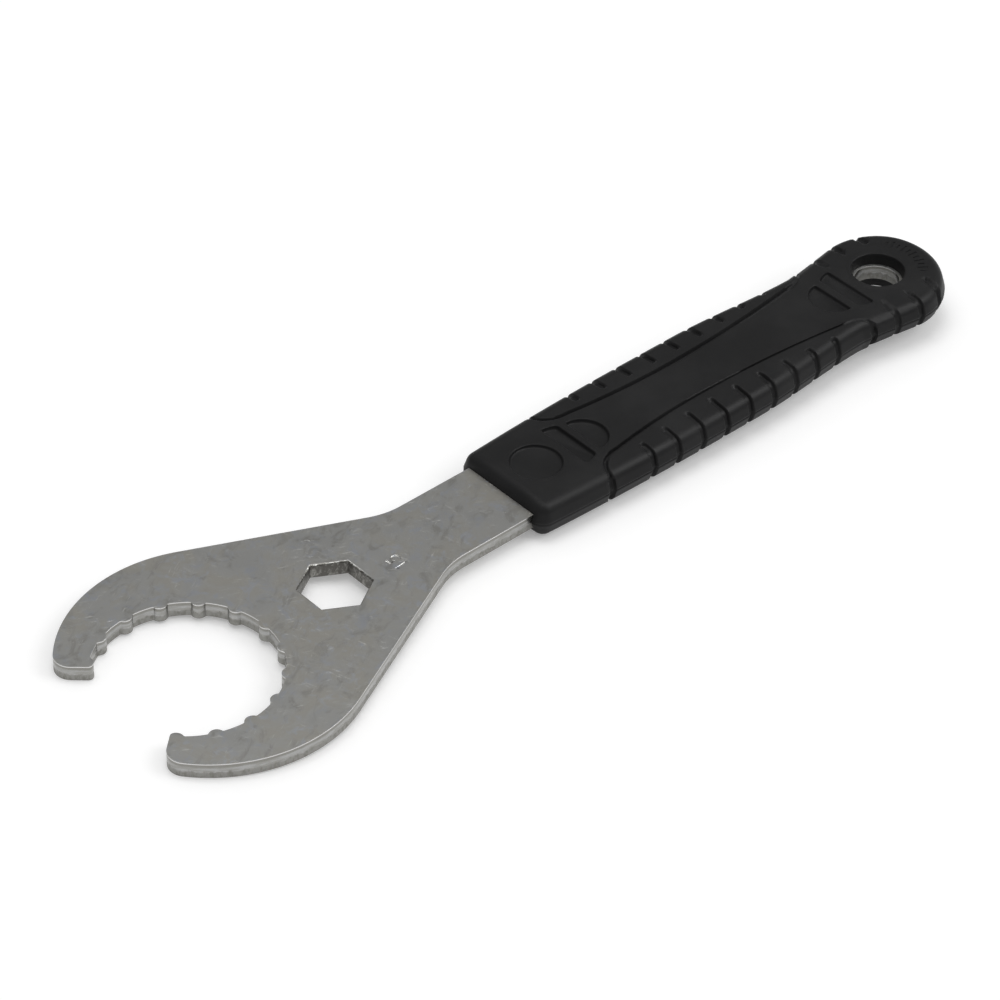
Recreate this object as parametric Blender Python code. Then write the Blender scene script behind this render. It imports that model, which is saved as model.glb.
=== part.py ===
"""Bottom bracket tool: a stamped steel hook spanner with a moulded grip over its tang.

Both pieces are drawn in a tool frame: the ring's centre at the origin, the handle along +X,
and the middle of the steel's thickness at Z = 0. The tool is then laid down as it comes to
rest, on its jaw tips and the front of its grip, with the centre of its base at the world
origin. Lengths are in metres, angles in degrees.
"""
import math

import bmesh
import bpy

# Steel plate
PLATE_THICKNESS = 0.0040
RIM_CHAMFER = 0.0003

# Lobed ring: it grips a 44 mm cup that has sixteen notches
CUP_RADIUS = 0.0220
CUP_CLEARANCE = 0.0001
CUP_NOTCHES = 16
MOUTH_NOTCHES = 3
LOBE_HEIGHT = 0.0011
LOBE_RADIUS = 0.0019
LOBE_FILLET = 0.0005
JAW_OFFSET = 0.0075
JAW_WIDTH = 0.0138
JAW_END_MARGIN = 3.7
JAW_CORNER_RADIUS = 0.0026

# Hexagon for a 15 mm nut
HEX_ACROSS_FLATS = 0.0152
HEX_WEB = 0.0133

# Neck and shank, and the narrower tang inside the grip
NECK_ANGLE = 65.0
NECK_FILLET = 0.0200
SHANK_WIDTH = 0.0226
SHANK_LENGTH = 0.0210
TANG_WIDTH = 0.0160
TANG_STEP_REACH = 0.0080
TANG_HOLE_RADIUS = 0.0054
TANG_CLEARANCE = 0.0003

# Grip: its walls stand outside the shank's width and are measured at the parting line
GRIP_REACH = 0.1292
GRIP_COVER = 0.0031
GRIP_CROWN = 0.0013
GRIP_FLAT = 0.0050
GRIP_SINK = 0.00004
FRONT_WALL = 0.0035
BELLY_WALL = 0.0053
WAIST_WALL = 0.0030
HEAD_WALL = 0.0057
BELLY_START = 0.0568
BELLY_LENGTH = 0.0150
WAIST_REACH = 0.0190
HEAD_LEAD = 0.0007
FACE_CORNER_RADIUS = 0.0002
DRAFT_ANGLE = 17.0
SHOULDER_RADIUS = 0.0022

# Hang hole through the grip, narrower at the parting line than at the faces
HANG_HOLE_RADIUS = 0.0068
HANG_HOLE_TAPER = 0.0006

# Shallow recesses on both faces: a disc at the front, a bar and a half moon at each end
RECESS_DEPTH = 0.0008
DISC_REACH = 0.0117
DISC_RADIUS = 0.0064
BAR_WIDTH = 0.0042
BAR_HALF = 0.0080
DISC_BAR_GAP = 0.0025
HOLE_BAR_GAP = 0.0031
MOON_GAP = 0.0022
MOON_RADIUS = 0.0062

# Leaf panels, outlined by a fine groove on each side of the grip
LEAF_FRONT = 0.0224
LEAF_HANG_GAP = 0.0158
LEAF_WAIST_REACH = 0.0380
LEAF_HALF_GAP = 0.0066
LEAF_FRONT_HALF_GAP = 0.0100
LEAF_REAR_HALF_GAP = 0.0108
LEAF_CORNER_REACH = 0.0075
LEAF_CORNER_FULLNESS = 0.65
LEAF_GROOVE_RADIUS = 0.00055
LEAF_GROOVE_DEPTH = 0.0004
LEAF_SIDE_SWELL = 1.5

# Finger grooves across the leaves and round the head
FINGER_PITCH = 0.0081
FINGER_LEAD = 0.0133
FINGER_TAIL = 0.0090
FINGER_SETBACK = 0.0038
GROOVE_RADIUS = 0.00085
GROOVE_DEPTH = 0.00065
HEAD_GROOVES = 3
HEAD_GROOVE_FIRST = -0.0083
HEAD_GROOVE_PITCH = 0.0074
HEAD_GROOVE_REACH = 0.0053

# Densities, in kilograms per cubic metre, which say where the tool balances
STEEL_DENSITY = 7850.0
GRIP_DENSITY = 1150.0

# Worked out from the driving dimensions
RING_RADIUS = CUP_RADIUS + CUP_CLEARANCE
NOTCH_PITCH = 360.0 / CUP_NOTCHES
LAST_LOBE = (CUP_NOTCHES - MOUTH_NOTCHES - 1) // 2
JAW_END_ANGLE = LAST_LOBE * NOTCH_PITCH + JAW_END_MARGIN
JAW_RADIUS = RING_RADIUS + JAW_WIDTH
HEX_X = RING_RADIUS + HEX_WEB + HEX_ACROSS_FLATS / 2
HALF_THICKNESS = PLATE_THICKNESS / 2
SHANK_HALF = SHANK_WIDTH / 2
TANG_HALF = TANG_WIDTH / 2
GRIP_HALF = HALF_THICKNESS + GRIP_COVER
FRONT_HALF = SHANK_HALF + FRONT_WALL
BELLY_HALF = SHANK_HALF + BELLY_WALL
WAIST_HALF = SHANK_HALF + WAIST_WALL
HEAD_RADIUS = SHANK_HALF + HEAD_WALL
DRAFT = math.radians(DRAFT_ANGLE)


def clear_scene():
    """Removes every object, so that the file can be run again."""
    for item in list(bpy.data.objects):
        bpy.data.objects.remove(item, do_unlink=True)


def finish(name, colour, roughness, metallic):
    """A plain material with the piece's own colour."""
    material = bpy.data.materials.new(name)
    material.use_nodes = True
    shader = material.node_tree.nodes["Principled BSDF"]
    shader.inputs["Base Color"].default_value = (*colour, 1.0)
    shader.inputs["Roughness"].default_value = roughness
    shader.inputs["Metallic"].default_value = metallic
    return material


def add_object(name, data):
    """Links a new object that shows the mesh."""
    item = bpy.data.objects.new(name, data)
    bpy.context.collection.objects.link(item)
    return item


def object_from_bmesh(name, shape):
    """Turns a bmesh into an object with its faces pointing out."""
    bmesh.ops.recalc_face_normals(shape, faces=shape.faces)
    data = bpy.data.meshes.new(name)
    shape.to_mesh(data)
    shape.free()
    return add_object(name, data)


def polar(radius, angle):
    """The point at a radius and an angle from the origin."""
    turn = math.radians(angle)
    return radius * math.cos(turn), radius * math.sin(turn)


def arc(centre, radius, start, end, steps):
    """Points on an arc from one angle to another, both ends included."""
    points = []
    for step in range(steps + 1):
        x, y = polar(radius, start + (end - start) * step / steps)
        points.append((centre[0] + x, centre[1] + y))
    return points


def angle_of(point, centre=(0.0, 0.0)):
    """The direction from a centre to a point."""
    return math.degrees(math.atan2(point[1] - centre[1], point[0] - centre[0]))


def rotated(points, angle):
    """The points turned about the origin."""
    turn = math.radians(angle)
    cosine = math.cos(turn)
    sine = math.sin(turn)
    return [(x * cosine - y * sine, x * sine + y * cosine) for x, y in points]


def mirrored_loop(half):
    """Closes a half outline, drawn from the X axis to the X axis, with its mirror image."""
    return half + [(x, -y) for x, y in reversed(half[1:-1])]


def ease(start, end, share):
    """Blends smoothly from one value to another."""
    share = min(max(share, 0.0), 1.0)
    return start + (end - start) * share * share * (3.0 - 2.0 * share)


def spaced(start, end, steps):
    """Evenly spaced values from one to another, both ends included."""
    return [start + (end - start) * step / steps for step in range(steps + 1)]


def bezier(start, handle_a, handle_b, end, steps):
    """Points on a cubic curve in the plane, both ends included."""
    points = []
    for step in range(steps + 1):
        t = step / steps
        s = 1.0 - t
        weights = (s ** 3, 3 * s * s * t, 3 * s * t * t, t ** 3)
        corners = (start, handle_a, handle_b, end)
        x = sum(weight * corner[0] for weight, corner in zip(weights, corners))
        y = sum(weight * corner[1] for weight, corner in zip(weights, corners))
        points.append((x, y))
    return points


def prism(name, outline, low, high):
    """Extrudes a closed outline between two heights."""
    shape = bmesh.new()
    base = shape.faces.new([shape.verts.new((x, y, low)) for x, y in outline])
    grown = bmesh.ops.extrude_face_region(shape, geom=[base])
    moved = [part for part in grown["geom"] if isinstance(part, bmesh.types.BMVert)]
    bmesh.ops.translate(shape, verts=moved, vec=(0.0, 0.0, high - low))
    return object_from_bmesh(name, shape)


def cut(target, cutter):
    """Takes a cutter's volume away from a piece."""
    cutter.hide_render = True
    cutter.display_type = "WIRE"
    modifier = target.modifiers.new(cutter.name, "BOOLEAN")
    modifier.operation = "DIFFERENCE"
    modifier.object = cutter
    modifier.solver = "MANIFOLD"


# Steel plate


def half_lobe():
    """Half of a lobe that points at the ring's centre from +X, from its tip to the ring."""
    nose = (RING_RADIUS - LOBE_HEIGHT + LOBE_RADIUS, 0.0)
    reach = RING_RADIUS - LOBE_FILLET
    cosine = reach ** 2 + nose[0] ** 2 - (LOBE_RADIUS + LOBE_FILLET) ** 2
    swing = math.degrees(math.acos(cosine / (2.0 * reach * nose[0])))
    fillet = polar(reach, swing)
    touch = angle_of(fillet, nose)
    tip = arc(nose, LOBE_RADIUS, 180.0, touch, 3)
    foot = arc(fillet, LOBE_FILLET, touch - 180.0, swing, 2)
    return tip + foot[1:]


def ring_side():
    """The ring's inside from the jaw's end face to the tip of the lobe on the axis.

    Each lobe is followed by a stretch of plain ring. The first lobe is cut off by the jaw's end
    face, and the last one is only the half that lies on this side of the axis.
    """
    half = half_lobe()
    lobe = [(x, y) for x, y in reversed(half)] + [(x, -y) for x, y in half[1:]]
    first = [point for point in lobe if angle_of(point) < JAW_END_MARGIN]
    points = rotated([jaw_face_foot()] + first, LAST_LOBE * NOTCH_PITCH)
    for number in range(LAST_LOBE - 1, -1, -1):
        start = angle_of(points[-1])
        upcoming = half[::-1] if number == 0 else lobe
        upcoming = rotated(upcoming, number * NOTCH_PITCH)
        points += arc((0.0, 0.0), RING_RADIUS, start, angle_of(upcoming[0]), 3)[1:-1]
        points += upcoming
    return points


def jaw_face_foot():
    """Where the jaw's end face meets the nose of the end lobe, for a lobe on the X axis."""
    nose = RING_RADIUS - LOBE_HEIGHT + LOBE_RADIUS
    margin = math.radians(JAW_END_MARGIN)
    reach = nose * math.cos(margin) - math.sqrt(LOBE_RADIUS ** 2 - (nose * math.sin(margin)) ** 2)
    return polar(reach, JAW_END_MARGIN)


def jaw_corner():
    """The rounded corner between the jaw's outside and its end face."""
    facing = polar(1.0, JAW_END_ANGLE)
    inward = (facing[1] * JAW_CORNER_RADIUS, -facing[0] * JAW_CORNER_RADIUS)
    offset = (inward[0] - JAW_OFFSET, inward[1])
    along = JAW_OFFSET * facing[0]
    spare = offset[0] ** 2 + offset[1] ** 2 - (JAW_RADIUS - JAW_CORNER_RADIUS) ** 2
    distance = along + math.sqrt(along ** 2 - spare)
    centre = (distance * facing[0] + inward[0], distance * facing[1] + inward[1])
    start = angle_of(centre, (JAW_OFFSET, 0.0))
    return arc(centre, JAW_CORNER_RADIUS, start, JAW_END_ANGLE + 90.0, 5)


def neck_fillet():
    """The concave fillet between the neck's straight flank and the shank, and its centre."""
    flank = polar(1.0, NECK_ANGLE)
    height = SHANK_HALF + NECK_FILLET
    reach = flank[0] * JAW_OFFSET + JAW_RADIUS + NECK_FILLET
    centre = ((reach - flank[1] * height) / flank[0], height)
    return arc(centre, NECK_FILLET, 270.0, 180.0 + NECK_ANGLE, 6), centre[0]


GRIP_FRONT = neck_fillet()[1] + SHANK_LENGTH
HANG_X = GRIP_FRONT + GRIP_REACH
LEAF_START = GRIP_FRONT + LEAF_FRONT
LEAF_END = HANG_X - LEAF_HANG_GAP
HEAD_X = HANG_X + HEAD_LEAD
WAIST_X = HANG_X - WAIST_REACH


def tang_half(clearance=0.0):
    """Half of the tang's outline from its round end to the shank, grown by a clearance.

    A taper at 45 degrees joins the tang to the wider shank.
    """
    step = GRIP_FRONT + TANG_STEP_REACH + clearance * math.tan(math.radians(22.5))
    points = arc((HANG_X, 0.0), TANG_HALF + clearance, 0.0, 90.0, 14)
    points.append((step + SHANK_HALF - TANG_HALF, TANG_HALF + clearance))
    points.append((step, SHANK_HALF + clearance))
    return points


def plate_outline():
    """The outline of the whole plate, anticlockwise from the end of the tang."""
    half = tang_half()
    half += neck_fillet()[0]
    corner = jaw_corner()
    turned = angle_of(corner[0], (JAW_OFFSET, 0.0))
    half += arc((JAW_OFFSET, 0.0), JAW_RADIUS, NECK_ANGLE, turned, 18)[:-1]
    half += corner
    half += ring_side()
    return mirrored_loop(half)


def steel_plate():
    """The stamped plate with its hexagon and its hang hole."""
    plate = prism("steel_plate", plate_outline(), -HALF_THICKNESS, HALF_THICKNESS)
    corner = HEX_ACROSS_FLATS / math.sqrt(3.0)
    hexagon = arc((HEX_X, 0.0), corner, 30.0, 330.0, 5)
    cut(plate, prism("hexagon_punch", hexagon, -PLATE_THICKNESS, PLATE_THICKNESS))
    hole = arc((HANG_X, 0.0), TANG_HOLE_RADIUS, 0.0, 350.0, 35)
    cut(plate, prism("tang_hole_punch", hole, -PLATE_THICKNESS, PLATE_THICKNESS))
    rim = plate.modifiers.new("punched_rim", "BEVEL")
    rim.width = RIM_CHAMFER
    rim.segments = 1
    rim.limit_method = "ANGLE"
    rim.angle_limit = math.radians(75.0)
    plate.data.materials.append(finish("satin_steel", (0.43, 0.43, 0.42), 0.42, 1.0))
    return plate


# Grip


def flank_end():
    """Angle round the head's centre at which the flank from the waist touches the head."""
    waist = (WAIST_X, WAIST_HALF)
    centre = (HEAD_X, 0.0)
    spread = math.degrees(math.acos(HEAD_RADIUS / math.dist(waist, centre)))
    return angle_of(waist, centre) - spread


def half_width(x):
    """Half of the grip's width at the parting line."""
    belly = GRIP_FRONT + BELLY_START
    if x < belly:
        share = (belly - x) / BELLY_START
        return BELLY_HALF - (BELLY_HALF - FRONT_HALF) * share ** 2
    if x < WAIST_X:
        fall = belly + BELLY_LENGTH
        return ease(BELLY_HALF, WAIST_HALF, (x - fall) / (WAIST_X - fall))
    touch = polar(HEAD_RADIUS, flank_end())
    if x < HEAD_X + touch[0]:
        share = (x - WAIST_X) / (HEAD_X + touch[0] - WAIST_X)
        return WAIST_HALF + (touch[1] - WAIST_HALF) * share
    away = min(x - HEAD_X, HEAD_RADIUS)
    return math.sqrt(HEAD_RADIUS ** 2 - away ** 2)


def edge_half():
    """Half of the grip's parting line, from the middle of its front to the end of its head.

    The front corner's radius leaves room for the shoulder, so that the face keeps a corner too.
    """
    radius = FACE_CORNER_RADIUS + shoulder_inset(GRIP_HALF)
    corner = (GRIP_FRONT + radius, FRONT_HALF - radius)
    points = [(GRIP_FRONT, corner[1] * step / 4) for step in range(4)]
    points += arc(corner, radius, 180.0, 100.0, 5)
    start = corner[0] + radius / 2
    points += [(x, half_width(x)) for x in spaced(start, WAIST_X, 26)]
    head = arc((HEAD_X, 0.0), HEAD_RADIUS, flank_end(), 0.0, 17)
    points += [(x, half_width(x)) for x in spaced(WAIST_X, head[0][0], 5)[1:-1]]
    return points + head


def outward(points, index):
    """The outward direction of the parting line at one of its points."""
    if index == 0:
        return -1.0, 0.0
    if index == len(points) - 1:
        return 1.0, 0.0
    run_x = points[index + 1][0] - points[index - 1][0]
    run_y = points[index + 1][1] - points[index - 1][1]
    length = math.hypot(run_x, run_y)
    return -run_y / length, run_x / length


def crown(y):
    """Height of the grip's face above the parting line.

    It is all but flat in the middle, with the faint sink of a moulding, and then falls away.
    """
    away = max(abs(y) - GRIP_FLAT, 0.0) / (BELLY_HALF - GRIP_FLAT)
    sink = GRIP_SINK * max(1.0 - (y / GRIP_FLAT) ** 2, 0.0)
    return GRIP_HALF - GRIP_CROWN * away ** 2 - sink


def shoulder_inset(height):
    """How far in from the parting line the rounded shoulder's centre lies."""
    return (height - SHOULDER_RADIUS) * math.tan(DRAFT) + SHOULDER_RADIUS / math.cos(DRAFT)


def shoulder_rings(height, steps=4):
    """Inset and height of each ring, from the parting line over the shoulder to the face."""
    inset = shoulder_inset(height)
    rings = [(0.0, 0.0)]
    for step in range(steps + 1):
        turn = DRAFT + (math.pi / 2 - DRAFT) * step / steps
        rise = height - SHOULDER_RADIUS + SHOULDER_RADIUS * math.sin(turn)
        rings.append((inset - SHOULDER_RADIUS * math.cos(turn), rise))
    return rings


def skin_height(y, wide):
    """Height of the grip's upper skin at a distance from the axis, where it is this wide."""
    height = crown(y)
    inset = wide - abs(y)
    middle = shoulder_inset(height)
    if inset >= middle:
        return height
    if inset <= middle - SHOULDER_RADIUS * math.cos(DRAFT):
        return max(inset, 0.0) / math.tan(DRAFT)
    drop = SHOULDER_RADIUS - math.sqrt(SHOULDER_RADIUS ** 2 - (middle - inset) ** 2)
    return height - drop


def grip_skin():
    """Lofts a quarter of the grip from its parting line to its spine, and mirrors it twice."""
    edge = edge_half()
    shape = bmesh.new()
    spine_start = GRIP_FRONT + FRONT_HALF
    spine = {}
    columns = []
    for index, (x, y) in enumerate(edge):
        out_x, out_y = outward(edge, index)
        column = []
        height = crown(y - SHOULDER_RADIUS * out_y)
        for inset, rise in shoulder_rings(height):
            column.append(shape.verts.new((x - out_x * inset, y - out_y * inset, rise)))
        centre_x = min(max(x, spine_start), HEAD_X)
        last = column[-1].co
        for share in (0.35, 0.7):
            face_x = last.x + (centre_x - last.x) * share
            face_y = last.y * (1.0 - share)
            column.append(shape.verts.new((face_x, face_y, crown(face_y))))
        if centre_x not in spine:
            spine[centre_x] = shape.verts.new((centre_x, 0.0, crown(0.0)))
        column.append(spine[centre_x])
        columns.append(column)
    for near, far in zip(columns, columns[1:]):
        for row in range(len(near) - 1):
            corners = [near[row], far[row], far[row + 1], near[row + 1]]
            if corners[2] is corners[3]:
                corners.pop()
            shape.faces.new(corners)
    for axis in ("Y", "Z"):
        everything = shape.verts[:] + shape.edges[:] + shape.faces[:]
        bmesh.ops.mirror(shape, geom=everything, axis=axis, merge_dist=1e-6)
    return object_from_bmesh("moulded_grip", shape)


def swept_cutter(name, paths, radius, closed=False):
    """A round tool swept along paths on the grip's left, and along their mirror images.

    Each point of a path is its place and a factor on the tool's radius there.
    """
    curve = bpy.data.curves.new(name, "CURVE")
    curve.dimensions = "3D"
    curve.bevel_depth = radius
    curve.bevel_resolution = 1
    curve.use_fill_caps = True
    for path in paths:
        for side in (1, -1):
            line = curve.splines.new("POLY")
            line.points.add(len(path) - 1)
            line.use_cyclic_u = closed
            for point, (x, y, z, swell) in zip(line.points, path):
                point.co = (x, side * y, z, 1.0)
                point.radius = swell
    guide = add_object(name + "_path", curve)
    seen = guide.evaluated_get(bpy.context.evaluated_depsgraph_get())
    shape = bmesh.new()
    shape.from_mesh(seen.to_mesh())
    bmesh.ops.remove_doubles(shape, verts=shape.verts, dist=1e-6)
    bpy.data.objects.remove(guide, do_unlink=True)
    return object_from_bmesh(name, shape)


def tang_pocket():
    """The space that the tang fills, open at the front of the grip."""
    half = tang_half(TANG_CLEARANCE)
    half.append((GRIP_FRONT - PLATE_THICKNESS, SHANK_HALF + TANG_CLEARANCE))
    depth = HALF_THICKNESS + TANG_CLEARANCE
    outline = half + [(x, -y) for x, y in reversed(half[1:])]
    return prism("tang_pocket", outline, -depth, depth)


def hang_hole():
    """The tapered hole through the head, turned about its own axis."""
    over = GRIP_HALF + GRIP_COVER
    flare = HANG_HOLE_TAPER * over / GRIP_HALF
    waist = HANG_HOLE_RADIUS - HANG_HOLE_TAPER
    profile = [(0.0, -over), (waist + flare, -over), (waist, 0.0), (waist + flare, over), (0.0, over)]
    shape = bmesh.new()
    points = [shape.verts.new((HANG_X + radius, 0.0, z)) for radius, z in profile]
    edges = [shape.edges.new(pair) for pair in zip(points, points[1:])]
    bmesh.ops.spin(shape, geom=points + edges, cent=(HANG_X, 0.0, 0.0), axis=(0.0, 0.0, 1.0),
                   angle=math.tau, steps=36, use_merge=True)
    bmesh.ops.remove_doubles(shape, verts=shape.verts, dist=1e-6)
    return object_from_bmesh("hang_hole", shape)


def recess(grip, name, outline):
    """Sinks an outline into both faces of the grip."""
    floor = GRIP_HALF - RECESS_DEPTH
    cut(grip, prism(name + "_upper", outline, floor, floor + GRIP_HALF))
    cut(grip, prism(name + "_lower", outline, -floor - GRIP_HALF, -floor))


def bar_and_moon(grip, name, centre_x, reach, facing):
    """The bar and the half moon that follow a round shape along the grip.

    reach is the bar's distance from the shape's centre. The bar's ends are arcs about the middle
    of its longer side. facing is 1 where they follow the shape towards the head, and -1 towards
    the front.
    """
    far = reach + BAR_WIDTH
    turn = math.degrees(math.acos(BAR_WIDTH / BAR_HALF))
    bar = arc((reach, 0.0), BAR_HALF, -90.0, -turn, 5) + arc((reach, 0.0), BAR_HALF, turn, 90.0, 5)
    moon = arc((far + MOON_GAP, 0.0), MOON_RADIUS, -90.0, 90.0, 16)
    for part, outline in (("bar", bar), ("moon", moon)):
        placed = [(centre_x + facing * x, facing * y) for x, y in outline]
        recess(grip, f"{name}_{part}", placed)


def groove_path(x, inner, wide):
    """A groove across the grip, from the upper face over the shoulder and side to the lower."""
    lift = GROOVE_RADIUS - GROOVE_DEPTH
    rings = shoulder_rings(crown(wide - SHOULDER_RADIUS))
    upper = [(inner, skin_height(inner, wide) + lift)]
    for number, (inset, rise) in enumerate(reversed(rings)):
        turn = math.radians(90.0) - (math.radians(90.0) - DRAFT) * number / (len(rings) - 2)
        if number == len(rings) - 1:
            turn = 0.0
        if wide - inset > inner + GROOVE_RADIUS:
            upper.append((wide - inset + lift * math.cos(turn), rise + lift * math.sin(turn)))
    whole = upper + [(y, -z) for y, z in reversed(upper[:-1])]
    return [(x, y, z, 1.0) for y, z in whole]


def leaf_gap(x):
    """Distance from the axis to a leaf's inner edge, smallest at the leaf's waist."""
    waist = LEAF_START + LEAF_WAIST_REACH
    if x < waist:
        share = (waist - x) / LEAF_WAIST_REACH
        return LEAF_HALF_GAP + (LEAF_FRONT_HALF_GAP - LEAF_HALF_GAP) * share ** 2
    share = (x - waist) / (LEAF_END - waist)
    return LEAF_HALF_GAP + (LEAF_REAR_HALF_GAP - LEAF_HALF_GAP) * share ** 2


def leaf_corner(side_x, inner_x):
    """The curve from the grip's side, over the shoulder and round a leaf's corner."""
    side = (side_x, half_width(side_x))
    inner = (inner_x, leaf_gap(inner_x))
    handle_a = (side_x, side[1] + (inner[1] - side[1]) * LEAF_CORNER_FULLNESS)
    handle_b = (inner_x + (side_x - inner_x) * LEAF_CORNER_FULLNESS, inner[1])
    return bezier(side, handle_a, handle_b, inner, 14)


def leaf_groove_path():
    """The fine groove round a leaf: over the upper face, down both ends and under the grip."""
    front = LEAF_START + LEAF_CORNER_REACH
    rear = LEAF_END - LEAF_CORNER_REACH
    along = [(x, leaf_gap(x)) for x in spaced(front, rear, 14)[1:-1]]
    plan = leaf_corner(LEAF_START, front) + along + leaf_corner(LEAF_END, rear)[::-1]
    lift = LEAF_GROOVE_RADIUS - LEAF_GROOVE_DEPTH
    upper = []
    for x, y in plan:
        z = skin_height(y, half_width(x))
        share = z / GRIP_HALF
        swell = LEAF_SIDE_SWELL if z < GRIP_HALF - SHOULDER_RADIUS else 1.0
        upper.append((x, y + lift * (1.0 - share), z + lift * share, swell))
    return upper + [(x, y, -z, swell) for x, y, z, swell in reversed(upper[1:-1])]


def finger_grooves():
    """The grooves across the leaves and the few round the head."""
    room = LEAF_END - LEAF_START - FINGER_LEAD - FINGER_TAIL
    paths = []
    for number in range(int(room / FINGER_PITCH) + 1):
        x = LEAF_START + FINGER_LEAD + number * FINGER_PITCH
        paths.append(groove_path(x, leaf_gap(x) + FINGER_SETBACK, half_width(x)))
    for number in range(HEAD_GROOVES):
        x = HANG_X + HEAD_GROOVE_FIRST + number * HEAD_GROOVE_PITCH
        wide = half_width(x)
        paths.append(groove_path(x, wide - HEAD_GROOVE_REACH, wide))
    return swept_cutter("finger_grooves", paths, GROOVE_RADIUS)


def moulded_grip():
    """The grip, with its pocket, hang hole, recesses and grooves."""
    grip = grip_skin()
    cut(grip, tang_pocket())
    cut(grip, hang_hole())
    disc_x = GRIP_FRONT + DISC_REACH
    recess(grip, "disc", arc((disc_x, 0.0), DISC_RADIUS, 0.0, 350.0, 35))
    bar_and_moon(grip, "front", disc_x, DISC_RADIUS + DISC_BAR_GAP, 1)
    bar_and_moon(grip, "head", HANG_X, HANG_HOLE_RADIUS + HOLE_BAR_GAP, -1)
    cut(grip, swept_cutter("leaf_grooves", [leaf_groove_path()], LEAF_GROOVE_RADIUS, closed=True))
    cut(grip, finger_grooves())
    grip.data.materials.append(finish("black_moulding", (0.018, 0.018, 0.019), 0.55, 0.0))
    return grip


# Rest


def lower_outline(points):
    """The lower half of the convex outline of points seen from the side, left to right."""
    chain = []
    for x, z in sorted(set(points)):
        while len(chain) > 1:
            (ax, az), (bx, bz) = chain[-2], chain[-1]
            if (bx - ax) * (z - az) > (bz - az) * (x - ax):
                break
            chain.pop()
        chain.append((x, z))
    return chain


def moments(data):
    """Volume of a closed mesh, and its volume times the X of its centre."""
    data.calc_loop_triangles()
    volume = 0.0
    moment = 0.0
    for triangle in data.loop_triangles:
        a, b, c = (data.vertices[index].co for index in triangle.vertices)
        wedge = a.dot(b.cross(c)) / 6.0
        volume += wedge
        moment += wedge * (a.x + b.x + c.x) / 4.0
    return volume, moment


def lay_down(pieces):
    """Parents the pieces and their cutters to an empty that rests the tool on a surface.

    The tool comes to rest on the edge of its lower outline that lies below its balance point.
    The empty turns that edge level and puts the centre of the tool's base at the origin.
    """
    graph = bpy.context.evaluated_depsgraph_get()
    points = []
    weight = 0.0
    moment = 0.0
    for piece, density in pieces:
        data = piece.evaluated_get(graph).to_mesh()
        points += [(vertex.co.x, vertex.co.z) for vertex in data.vertices]
        volume, first = moments(data)
        weight += volume * density
        moment += first * density
    balance = moment / weight
    chain = lower_outline([(round(x, 7), round(z, 7)) for x, z in points])
    slope = 0.0
    for start, end in zip(chain, chain[1:]):
        if start[0] <= balance < end[0]:
            slope = math.atan2(end[1] - start[1], end[0] - start[0])
    cosine = math.cos(slope)
    sine = math.sin(slope)
    turned_x = [x * cosine + z * sine for x, z in points]
    turned_z = [z * cosine - x * sine for x, z in points]
    rest = bpy.data.objects.new("rest", None)
    bpy.context.collection.objects.link(rest)
    rest.rotation_euler = (0.0, slope, 0.0)
    rest.location = (-(min(turned_x) + max(turned_x)) / 2, 0.0, -min(turned_z))
    for item in bpy.data.objects:
        if item is not rest:
            item.parent = rest


def main():
    """Builds both pieces and lays the tool down."""
    clear_scene()
    plate = steel_plate()
    grip = moulded_grip()
    for piece in (plate, grip):
        piece.data.shade_smooth()
        piece.data.set_sharp_from_angle(angle=math.radians(35.0))
    lay_down([(plate, STEEL_DENSITY), (grip, GRIP_DENSITY)])


main()
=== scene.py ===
"""Looks of the bottom bracket tool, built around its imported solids.

The tool is drawn in its own frame: the ring's centre at the origin, the handle along +X, and the
middle of the steel's thickness at Z = 0. Each finished mesh is then laid down as the solids lie,
on the jaw tips and the front of the grip. Lengths are in metres and angles in degrees.
"""
import logging
import math
from collections.abc import Callable, Iterable, Sequence
from dataclasses import dataclass
from enum import Enum

import bmesh
import bpy
import numpy as np
from mathutils import Matrix, Vector


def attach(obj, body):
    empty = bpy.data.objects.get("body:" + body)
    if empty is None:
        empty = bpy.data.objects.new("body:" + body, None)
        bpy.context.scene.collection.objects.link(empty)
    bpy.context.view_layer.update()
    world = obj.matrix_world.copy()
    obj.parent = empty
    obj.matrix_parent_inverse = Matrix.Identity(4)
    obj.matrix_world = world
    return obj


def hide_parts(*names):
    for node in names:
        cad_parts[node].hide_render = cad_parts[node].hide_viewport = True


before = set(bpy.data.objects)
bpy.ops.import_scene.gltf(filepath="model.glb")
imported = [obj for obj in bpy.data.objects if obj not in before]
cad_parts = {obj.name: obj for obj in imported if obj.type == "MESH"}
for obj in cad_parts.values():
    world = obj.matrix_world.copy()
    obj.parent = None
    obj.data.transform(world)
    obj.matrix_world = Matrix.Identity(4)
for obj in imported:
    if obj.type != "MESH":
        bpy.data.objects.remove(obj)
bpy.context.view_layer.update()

log = logging.getLogger("bottom_bracket_tool")

Point = tuple[float, float]
Colour = tuple[float, float, float]
MM = 0.001
WHITE = (1.0, 1.0, 1.0, 1.0)


class Finish(Enum):
    """The finishes of the tool, in the order of each piece's material slots."""

    SATIN_STEEL = "satin_steel"
    PUNCHED_STEEL = "punched_steel"
    BROACHED_STEEL = "broached_steel"
    BLACK_MOULDING = "black_moulding"


@dataclass(frozen=True)
class Rest:
    """How the tool lies on a level surface, tilted a little about the Y axis."""

    slope: float = -0.02619505114853382
    ring_centre: tuple[float, float, float] = (-0.10941274464130402, 0.0, 0.0025571901351213455)

    def matrix(self) -> Matrix:
        """Takes the tool's own frame to the world."""
        return Matrix.Translation(self.ring_centre) @ Matrix.Rotation(self.slope, 4, "Y")

    def place(self, item: bpy.types.Object) -> None:
        """Puts the place of a piece into its mesh, so that its object stays at the origin."""
        item.data.transform(self.matrix())


REST = Rest()


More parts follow.
